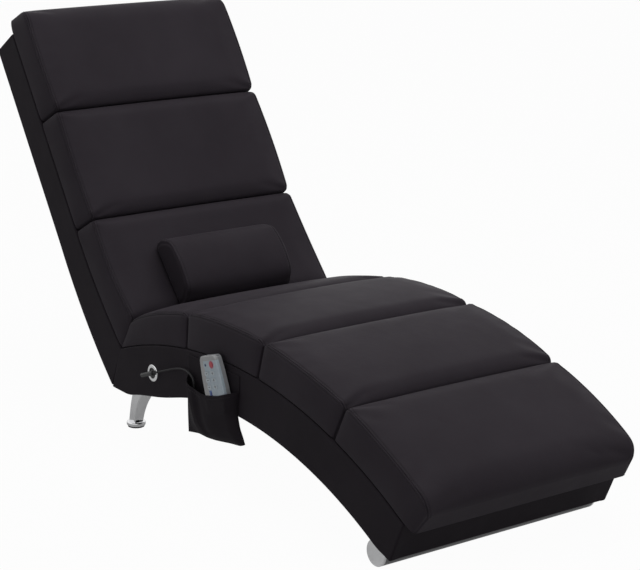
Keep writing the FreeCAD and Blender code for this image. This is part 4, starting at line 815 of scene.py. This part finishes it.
def make_skin(name, node, foot_line, deck_line, depth, hem_line=None):
    """Leatherette stretched round a frame between two lines of its side view, with a hem that may sag."""
    length = sum((after - before).length for before, after in zip(deck_line, deck_line[1:]))
    step_along, step_across, step_up = SKIN_STEPS
    cuts = [close_cuts(0.0, length, step_along, FINE_ALONG[:5]) / length,
            close_cuts(-HALF_WIDTH, HALF_WIDTH, step_across, FINE_ACROSS[:8]) / HALF_WIDTH,
            close_cuts(0.0, depth, step_up, FINE_UP) / depth]
    places, faces = box_surface(cuts)
    t, v, w = places.T
    share = end_share(t * length, length, SKIN_ROUND)
    half = HALF_WIDTH - SKIN_ROUND * share
    across, rise = section(v, w, half, half, np.full_like(t, depth), SKIN_ROUND, SKIN_ROUND)
    inset = SKIN_ROUND * share / depth
    level = inset + (rise / depth) * (1 - 2 * inset)
    foot, deck = along(foot_line, t), along(deck_line, t)
    if hem_line:
        foot += (along(hem_line, t) - foot) * ease((np.abs(v) - HEM_EDGE) / HEM_FADE)[:, None]
    points = foot + (deck - foot) * level[:, None]
    points[:, 1] += across
    # the darker cover leatherette is painted shade for the base's and back's sides
    thing = new_piece(name, points, faces, COVER_LEATHER_SHADED)
    face_outward(thing)
    subdivide(thing)
    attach(thing, "chair")
    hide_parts(node)


def make_skins():
    """Skins of the seat's base and of the back."""
    flat_step = (FLAT_HEIGHT - joint_place(0.0).z) / math.sin(math.radians(JOINT_SLOPE))
    heel = joint_place(flat_step)
    angles = np.linspace(JOINT_ANGLE, FRONT_ANGLE, 60)
    deck = [AXIS + Vector(spot) * (DECK_RADIUS + SEAT_SEAM_LIFT - SKIN_UNDER) for spot in tilted(angles)]
    turns = np.linspace(BEND_ANGLE, TUBE_ANGLE, 60)
    foot = [heel] + [AXIS + Vector(spot) * BASE_RADIUS for spot in tilted(turns)]
    upright = Vector((0.0, 0.0, 1.0))
    foot.append(FRONT_LOW - upright * FRONT_HEM)
    hem = [heel - upright * 2 * HEM_DROP]
    for turn, spot in zip(turns, tilted(turns)):
        sag = HEM_DROP + HEM_SAG * math.exp(-((turn - HEM_SAG_ANGLE) / HEM_SAG_WIDTH) ** 2)
        hem.append(AXIS + Vector(spot) * (BASE_RADIUS - sag))
    hem.append(foot[-1] - upright * HEM_DROP)
    depth = DECK_RADIUS + SEAT_SEAM_LIFT - BASE_RADIUS
    make_skin("seat_base_skin", "seat_cover", foot, deck, depth, hem)
    headings = np.linspace(BACK_START, BACK_LEAN, 30)
    reach = BACK_RADIUS - BACK_SEAM_LIFT + SKIN_UNDER
    deck = [BACK_AXIS - Vector(spot) * reach for spot in tilted(headings)]
    deck.append(KNEE + OUT * (BACK_SEAM_LIFT - SKIN_UNDER) + CLIMB * STRAIGHT_LENGTH)
    shin = KNEE - OUT * BACK_DEPTH
    foot = arc_line(heel, shin, BACK_RADIUS + BACK_DEPTH, 1, 30)
    foot.append(shin + CLIMB * STRAIGHT_LENGTH)
    make_skin("back_skin", "back_cover", foot, deck, BACK_DEPTH + BACK_SEAM_LIFT)


# Pillow

PILLOW_LENGTH = 0.286
PILLOW_HALF = 0.080
PILLOW_SINK = 0.008
PILLOW_SIDE = -0.006
PILLOW_DEPTH = 0.066
PILLOW_CROWN = 0.016
PILLOW_SHOULDER = 0.033
PILLOW_BACK_ROUND = 0.009
PILLOW_HEADING = 49.1
PILLOW_GAP = 0.0088
PILLOW_END_ROUND = 0.010
PILLOW_CUTS_UP, PILLOW_CUTS_OUT = 25, 13
STITCH_LOW, STITCH_TURN = 0.1, 0.93


def pillow_points(places):
    """Points of the pillow for places given as distance along, share up its face and share of its depth."""
    s, v, w = places.T
    share = end_share(s, PILLOW_LENGTH, PILLOW_END_ROUND)
    drop = PILLOW_END_ROUND * share
    half = PILLOW_HALF - drop
    full = PILLOW_DEPTH - PILLOW_CROWN - drop / 2
    climb, reach = section(v, w, half, half, full, PILLOW_SHOULDER, PILLOW_BACK_ROUND)
    reach = reach + PILLOW_CROWN * (1 - v ** 2) * w ** 2
    out = tilted(np.float64(PILLOW_HEADING))
    up = np.array([-out[2], 0.0, out[0]])
    stand = BACK_RADIUS - BACK_PAD_HEIGHT - PAD_CROWN - PAD_SWELL - PILLOW_GAP
    foot = np.array(BACK_AXIS) - out * stand
    points = foot + (climb - PILLOW_SINK)[:, None] * up + (reach + drop / 2)[:, None] * out
    points[:, 1] += s - PILLOW_LENGTH / 2 + PILLOW_SIDE
    return points


def make_pillow():
    """Loose bolster with a flat rear, a round front, sewn-in end panels and a row of stitches beside each."""
    cuts = [close_cuts(0.0, PILLOW_LENGTH, PILLOW_STEP, FINE_ACROSS),
            np.linspace(-1.0, 1.0, PILLOW_CUTS_UP),
            np.linspace(0.0, 1.0, PILLOW_CUTS_OUT)]
    places, faces = box_surface(cuts)
    thing = new_piece("lumbar_pillow_upholstery", pillow_points(places), faces, PAD_LEATHER)
    face_outward(thing)
    s, v, w = places.T
    ends = (s <= TINY) | (s >= PILLOW_LENGTH - TINY)
    rim = np.minimum((1 - np.abs(v)) * PILLOW_HALF, np.minimum(w, 1 - w) * PILLOW_DEPTH)
    distance = np.where(ends, rim, np.minimum(s, PILLOW_LENGTH - s))
    keep_values(thing, "seam", distance)
    keep_values(thing, "stitched", np.where(ends, 0.0, 1.0))
    inflate(thing, (w < HELD_FOOT) | (distance < HELD_SEAM), PILLOW_CAP)
    subdivide(thing)
    sew(thing)
    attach(thing, "pillow")
    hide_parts("lumbar_pillow")
    rows = []
    ring = [(-1.0, share) for share in np.linspace(STITCH_LOW, 1.0, 14)]
    ring += [(share, 1.0) for share in np.linspace(-STITCH_TURN, STITCH_TURN, 26)]
    ring += [(1.0, share) for share in np.linspace(1.0, STITCH_LOW, 14)]
    for distance in (STITCH_INSET, PILLOW_LENGTH - STITCH_INSET):
        track = pillow_points(np.array([(distance, across, up) for across, up in ring]))
        reach = np.linalg.norm(np.diff(track, axis=0), axis=1).sum()
        rows.append(along([Vector(point) for point in track], np.linspace(0, 1, int(reach / STITCH_PITCH))))
    make_stitches("lumbar_pillow_stitches", thing, rows, "pillow")


# Pocket and cloth under the base

SIDE_FACE = AXIS.y - HALF_WIDTH
POCKET_CLOTH_THICK = 0.0014
POCKET_LEFT = 0.0132
POCKET_TOP = 0.257
POCKET_DEPTH = 0.021
POCKET_FRONT_GAP, POCKET_BACK_GAP = 0.0004, 0.0002
POCKET_MOUTH = [(0.0132, 0.217), (0.0262, 0.214), (0.0392, 0.208), (0.0482, 0.203), (0.0662, 0.199),
                (0.0882, 0.196), (0.1092, 0.196), (0.1532, 0.207), (0.1882, 0.221), (0.2002, 0.224)]
POCKET_HEM = [(0.0172, 0.088), (0.0562, 0.095), (0.0892, 0.095), (0.1192, 0.098), (0.1722, 0.107),
              (0.1962, 0.110), (0.2092, 0.112), (0.2212, 0.118)]
POCKET_RIGHT = [(0.0, 0.2002), (0.25, 0.1962), (0.5, 0.1952), (0.72, 0.2027), (0.88, 0.2142), (1.0, 0.2212)]
POCKET_FULL = [(0.0, 1.0), (0.35, 0.96), (0.72, 0.86), (0.9, 0.52), (1.0, 0.0)]
POCKET_SWING = 0.004
FOLD_TOP, FOLD_LOW = 0.17, 0.37
FOLD_POWER = 0.8
FOLD_RIDGES = ((0.10, 0.0, 0.05), (-0.12, 0.13, 0.07))
SLACK, SLACK_END = 0.16, 0.9
TURN_START, TURN_WIDTH = 0.88, 0.12
WAVE = 0.05
MOUTH_BAND, BAND_EDGE, BAND_THICK = 0.013, 0.0012, 0.0006
LOOSE_TOP, LOOSE_SPAN, LOOSE_WAVE = 0.160, 0.07, 0.0006
STITCH_STAND = 0.002
HANDSET_CLEARANCE = 0.0016
BULGE_PASSES = 40
RAY_START = -0.5


def pairs(table, shares):
    """Values at shares, read along a table of pairs."""
    table = np.array(table)
    return np.interp(shares, table[:, 0], table[:, 1])


def soften(values, passes=3):
    """Smooth rows of values, keeping both ends."""
    values = values.copy()
    for _ in range(passes):
        values[1:-1] = (values[:-2] + 2 * values[1:-1] + values[2:]) / 4
    return values


def grid_faces(across, down):
    """Faces of a grid of points laid out row by row."""
    starts = [row * across + step for row in range(down - 1) for step in range(across - 1)]
    return [(start, start + 1, start + across + 1, start + across) for start in starts]


def thicken(thing, thick):
    """Give a sheet of cloth its thickness, half to each side."""
    modifier = thing.modifiers.new("thick", "SOLIDIFY")
    modifier.thickness = thick
    modifier.offset = 0.0
    with_modifiers(thing)


def pocket_edges(shares):
    """Mouth and hem heights of the pocket at shares across."""
    mouth, hem = np.array(POCKET_MOUTH), np.array(POCKET_HEM)
    high = np.interp(shares, (mouth[:, 0] - mouth[0, 0]) / np.ptp(mouth[:, 0]), mouth[:, 1])
    low = np.interp(shares, (hem[:, 0] - hem[0, 0]) / np.ptp(hem[:, 0]), hem[:, 1])
    return soften(high), soften(low)


def held_clear(x, y, z):
    """Let the pocket's front bulge where the handset's edge would show through it."""
    push = np.zeros_like(y)
    for name in ("handset_front_shell", "handset_back_shell"):
        tree = BVHTree.FromObject(nodes[name], bpy.context.evaluated_depsgraph_get())
        for spot in np.ndindex(y.shape):
            hit = tree.ray_cast(Vector((x[spot], RAY_START, z[spot])), Vector((0.0, 1.0, 0.0)))[0]
            if hit is not None:
                push[spot] = max(push[spot], y[spot] - hit.y + HANDSET_CLEARANCE)
    wide = push.copy()
    for _ in range(BULGE_PASSES):
        near = np.pad(wide, 1, mode="edge")
        mean = (near[:-2, 1:-1] + near[2:, 1:-1] + near[1:-1, :-2] + near[1:-1, 2:]) / 4
        wide = np.maximum(push, mean)
    wide[:, -1] = 0.0
    return y - wide


def make_pocket():
    """Soft pocket: a back panel on the base's side and a front panel that gapes and folds on its left."""
    across, down = 90, 64
    u, v = np.linspace(0, 1, across), np.linspace(0, 1, down)
    mouth, hem = pocket_edges(u)
    right = soften(pairs(POCKET_RIGHT, v), 6)
    left = POCKET_LEFT + POCKET_SWING * v ** 3
    share, fall = np.meshgrid(u, v)
    x = left[:, None] + (right - left)[:, None] * share
    z = mouth[None, :] * (1 - fall) + hem[None, :] * fall
    fold = FOLD_TOP + (FOLD_LOW - FOLD_TOP) * fall
    full = POCKET_DEPTH * soften(pairs(POCKET_FULL, v), 4)[:, None]
    rise = ease(share / fold) ** FOLD_POWER
    slack = 1 - SLACK * np.clip((share - fold) / (SLACK_END - fold), 0, 1)
    turn = np.sqrt(np.clip(1 - np.clip((share - TURN_START) / TURN_WIDTH, 0, 1) ** 2, 0, 1))
    ridge = sum(size * np.exp(-((share - fold - shift) / width) ** 2) for size, shift, width in FOLD_RIDGES)
    wave = WAVE * np.sin(9.0 * share + 4.0 * fall) * np.sin(3.1 * fall + 0.6)
    out = full * np.clip(rise * slack * turn + (ridge + wave) * rise * turn * ease(fall * 4 + 0.4), 0, 1)
    band = ease((MOUTH_BAND - (mouth[None, :] - z)) / BAND_EDGE) * BAND_THICK * turn
    y = held_clear(x, SIDE_FACE - POCKET_CLOTH_THICK - POCKET_FRONT_GAP - out - band, z)
    points = np.stack([x, y, z], axis=-1).reshape(-1, 3)
    front = new_piece("pocket_front_cloth", points, grid_faces(across, down), POCKET_CLOTH)
    thicken(front, POCKET_CLOTH_THICK)
    subdivide(front)
    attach(front, "chair")
    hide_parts("pocket_front_panel")
    lay = np.stack([x, y - STITCH_STAND, z], axis=-1)
    mouth_row, side_row = lay[5, 3::3], lay[4:-4:3, 4]
    make_stitches("pocket_stitches", front, [mouth_row, side_row], "chair")
    z = POCKET_TOP * (1 - fall) + hem[None, :] * fall
    drop = np.clip((LOOSE_TOP - z) / LOOSE_SPAN, 0, 1)
    flat = SIDE_FACE - POCKET_CLOTH_THICK / 2 - POCKET_BACK_GAP
    y = np.full_like(x, flat) - LOOSE_WAVE * drop * np.sin(11 * share + 2.0)
    fallen = np.clip((mouth[None, :] - z) / (mouth - hem)[None, :], 0, 1)
    edge = np.interp(fallen.ravel(), v, right).reshape(fallen.shape)
    start = np.interp(fallen.ravel(), v, left).reshape(fallen.shape)
    x = start + (edge - start) * share
    points = np.stack([x, y, z], axis=-1).reshape(-1, 3)
    back = new_piece("pocket_back_cloth", points, grid_faces(across, down), POCKET_CLOTH)
    thicken(back, POCKET_CLOTH_THICK)
    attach(back, "chair")
    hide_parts("pocket_back_panel")


DUST_HALF = 0.262
DUST_FRONT_ANGLE = 26.6
DUST_SINK = 0.0009
DUST_THICK = 0.0008


def make_dust_cloth():
    """Thin cloth stretched under the base from the leg plank to the front tube."""
    across, down = 36, 60
    angle, side = np.meshgrid(np.linspace(BEND_ANGLE, DUST_FRONT_ANGLE, down),
                              np.linspace(-DUST_HALF, DUST_HALF, across))
    points = np.array(AXIS) + tilted(angle.T.ravel()) * (BASE_RADIUS - DUST_SINK)
    points[:, 1] += side.T.ravel()
    cloth = new_piece("dust_cloth", points, grid_faces(across, down), DUST_CLOTH)
    thicken(cloth, DUST_THICK)
    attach(cloth, "chair")
    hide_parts("dust_cover")


# Lead of the handset, from the handset to the plug

LEAD_DIAMETER = 0.004
LEAD_ROUTE = [
    (0.15532, -0.27706, 0.15935), (0.15953, -0.27645, 0.14601), (0.15120, -0.27670, 0.1343),
    (0.13420, -0.27670, 0.1328), (0.11920, -0.27660, 0.1428), (0.11420, -0.27650, 0.1618),
    (0.10620, -0.27650, 0.1848), (0.07970, -0.27650, 0.1818), (0.08220, -0.27650, 0.1548),
    (0.08120, -0.27650, 0.1258), (0.05420, -0.27650, 0.1258), (0.05170, -0.27650, 0.1548),
    (0.05170, -0.27670, 0.1848), (0.04770, -0.27530, 0.2128), (0.01620, -0.27190, 0.2233),
    (-0.01580, -0.27180, 0.2188), (-0.04680, -0.27530, 0.2078), (-0.07799, -0.27880, 0.19595),
    (-0.10413, -0.27880, 0.18592),
]


def make_lead():
    """Thin lead as a tube on a smooth line, which runs out of the pocket from the handset."""
    curve = bpy.data.curves.new("lead_line", "CURVE")
    curve.dimensions = "3D"
    curve.resolution_u = 10
    spline = curve.splines.new("NURBS")
    spline.points.add(len(LEAD_ROUTE) - 1)
    for point, place in zip(spline.points, LEAD_ROUTE):
        point.co = (*place, 1.0)
    spline.order_u = 3
    spline.use_endpoint_u = True
    guide = bpy.data.objects.new("lead_line", curve)
    scene.collection.objects.link(guide)
    line = points_of(bpy.data.meshes.new_from_object(guide))
    curve.bevel_depth = LEAD_DIAMETER / 2
    curve.bevel_resolution = 3
    curve.use_fill_caps = True
    tube = bpy.data.objects.new("handset_lead_tube", bpy.data.meshes.new_from_object(guide))
    scene.collection.objects.link(tube)
    bpy.data.objects.remove(guide)
    tube.data.polygons.foreach_set("use_smooth", [True] * len(tube.data.polygons))
    paint(tube, BLACK_RUBBER)
    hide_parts("handset_lead")
    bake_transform(tube)


# Stage; each lamp has a name, a place, a size and a power in watts

FLOOR_REACH = 9
FLOOR_GLOW = 0.97
FLOOR_GLOSS = 0.25
ROOM_LIGHT = 0.22
LAMPS = (("top_light", (0.4, 0.2, 3.2), 3.0, 34.0), ("front_light", (3.0, -0.8, 2.6), 2.2, 3.5))
LAMP_AIM = Vector((0.0, 0.0, 0.35))


def seen_rays(tree, gloss):
    """Factor that is 1 for what the camera sees, also through glass, and a share of that in gloss."""
    rays = tree.nodes.new("ShaderNodeLightPath")
    factor = rays.outputs["Is Camera Ray"]
    for name, share in (("Is Glossy Ray", gloss), ("Is Transmission Ray", 1.0)):
        factor = sums(tree, "MAXIMUM", factor, spread(tree, rays.outputs[name], 0.0, share))
    return factor


def make_stage():
    """Plain pale floor, soft studio light and the camera of the photograph."""
    material, tree, shader, place = new_material("floor_paper")
    tree.links.new(ramp(tree, noise(tree, place, 2.0), (0.66, 0.66, 0.66), (0.68, 0.68, 0.68)),
                   shader.inputs["Base Color"])
    shader.inputs["Roughness"].default_value = 0.9
    glow = tree.nodes.new("ShaderNodeEmission")
    glow.inputs["Strength"].default_value = 1.0
    blend = tree.nodes.new("ShaderNodeMixShader")
    tree.links.new(spread(tree, seen_rays(tree, FLOOR_GLOSS), 0.0, FLOOR_GLOW), blend.inputs["Fac"])
    tree.links.new(shader.outputs["BSDF"], blend.inputs[1])
    tree.links.new(glow.outputs["Emission"], blend.inputs[2])
    tree.links.new(blend.outputs["Shader"], tree.nodes["Material Output"].inputs["Surface"])
    corners = [(x * FLOOR_REACH, y * FLOOR_REACH, 0) for x, y in ((-1, -1), (1, -1), (1, 1), (-1, 1))]
    floor = new_piece("floor", corners, [(0, 1, 2, 3)], material)
    world = bpy.data.worlds.new("studio")
    world.use_nodes = True
    scene.world = world
    tree = world.node_tree
    back = tree.nodes["Background"]
    back.inputs["Color"].default_value = (1.0, 1.0, 1.0, 1.0)
    tree.links.new(spread(tree, seen_rays(tree, 1.0), ROOM_LIGHT, 1.0), back.inputs["Strength"])
    for name, spot, size, power in LAMPS:
        lamp = bpy.data.lights.new(name, "AREA")
        lamp.shape = "SQUARE"
        lamp.size = size
        lamp.energy = power
        holder = bpy.data.objects.new(name, lamp)
        holder.location = spot
        holder.rotation_mode = "QUATERNION"
        holder.rotation_quaternion = (LAMP_AIM - Vector(spot)).to_track_quat("-Z", "Y")
        scene.collection.objects.link(holder)
    make_camera()
    scene.view_settings.view_transform = "Standard"


# Camera fitted to the photograph: angles in radians, focal length in mm

EYE = Vector((3.38802, -2.48927, 1.50545))
YAW, PITCH, ROLL = 0.9213, 0.2654, -0.0182
FOCAL_LENGTH = 114.48


def make_camera():
    """Camera at the photograph's viewing angle."""
    forward = Vector((-math.sin(YAW) * math.cos(PITCH), math.cos(YAW) * math.cos(PITCH), -math.sin(PITCH)))
    right = forward.cross(Vector((0, 0, 1))).normalized()
    down = forward.cross(right)
    level = right * math.cos(ROLL) + down * math.sin(ROLL)
    fall = down * math.cos(ROLL) - right * math.sin(ROLL)
    lens = bpy.data.cameras.new("camera")
    lens.lens = FOCAL_LENGTH
    camera = bpy.data.objects.new("camera", lens)
    turn = Matrix((level, -fall, -forward)).transposed().to_4x4()
    camera.matrix_world = Matrix.Translation(EYE) @ turn
    scene.collection.objects.link(camera)
    scene.camera = camera


paint_nodes()
make_stage()
make_lead()
make_seat_pads()
make_back_pads()
make_skins()
make_pillow()
make_pocket()
make_dust_cloth()
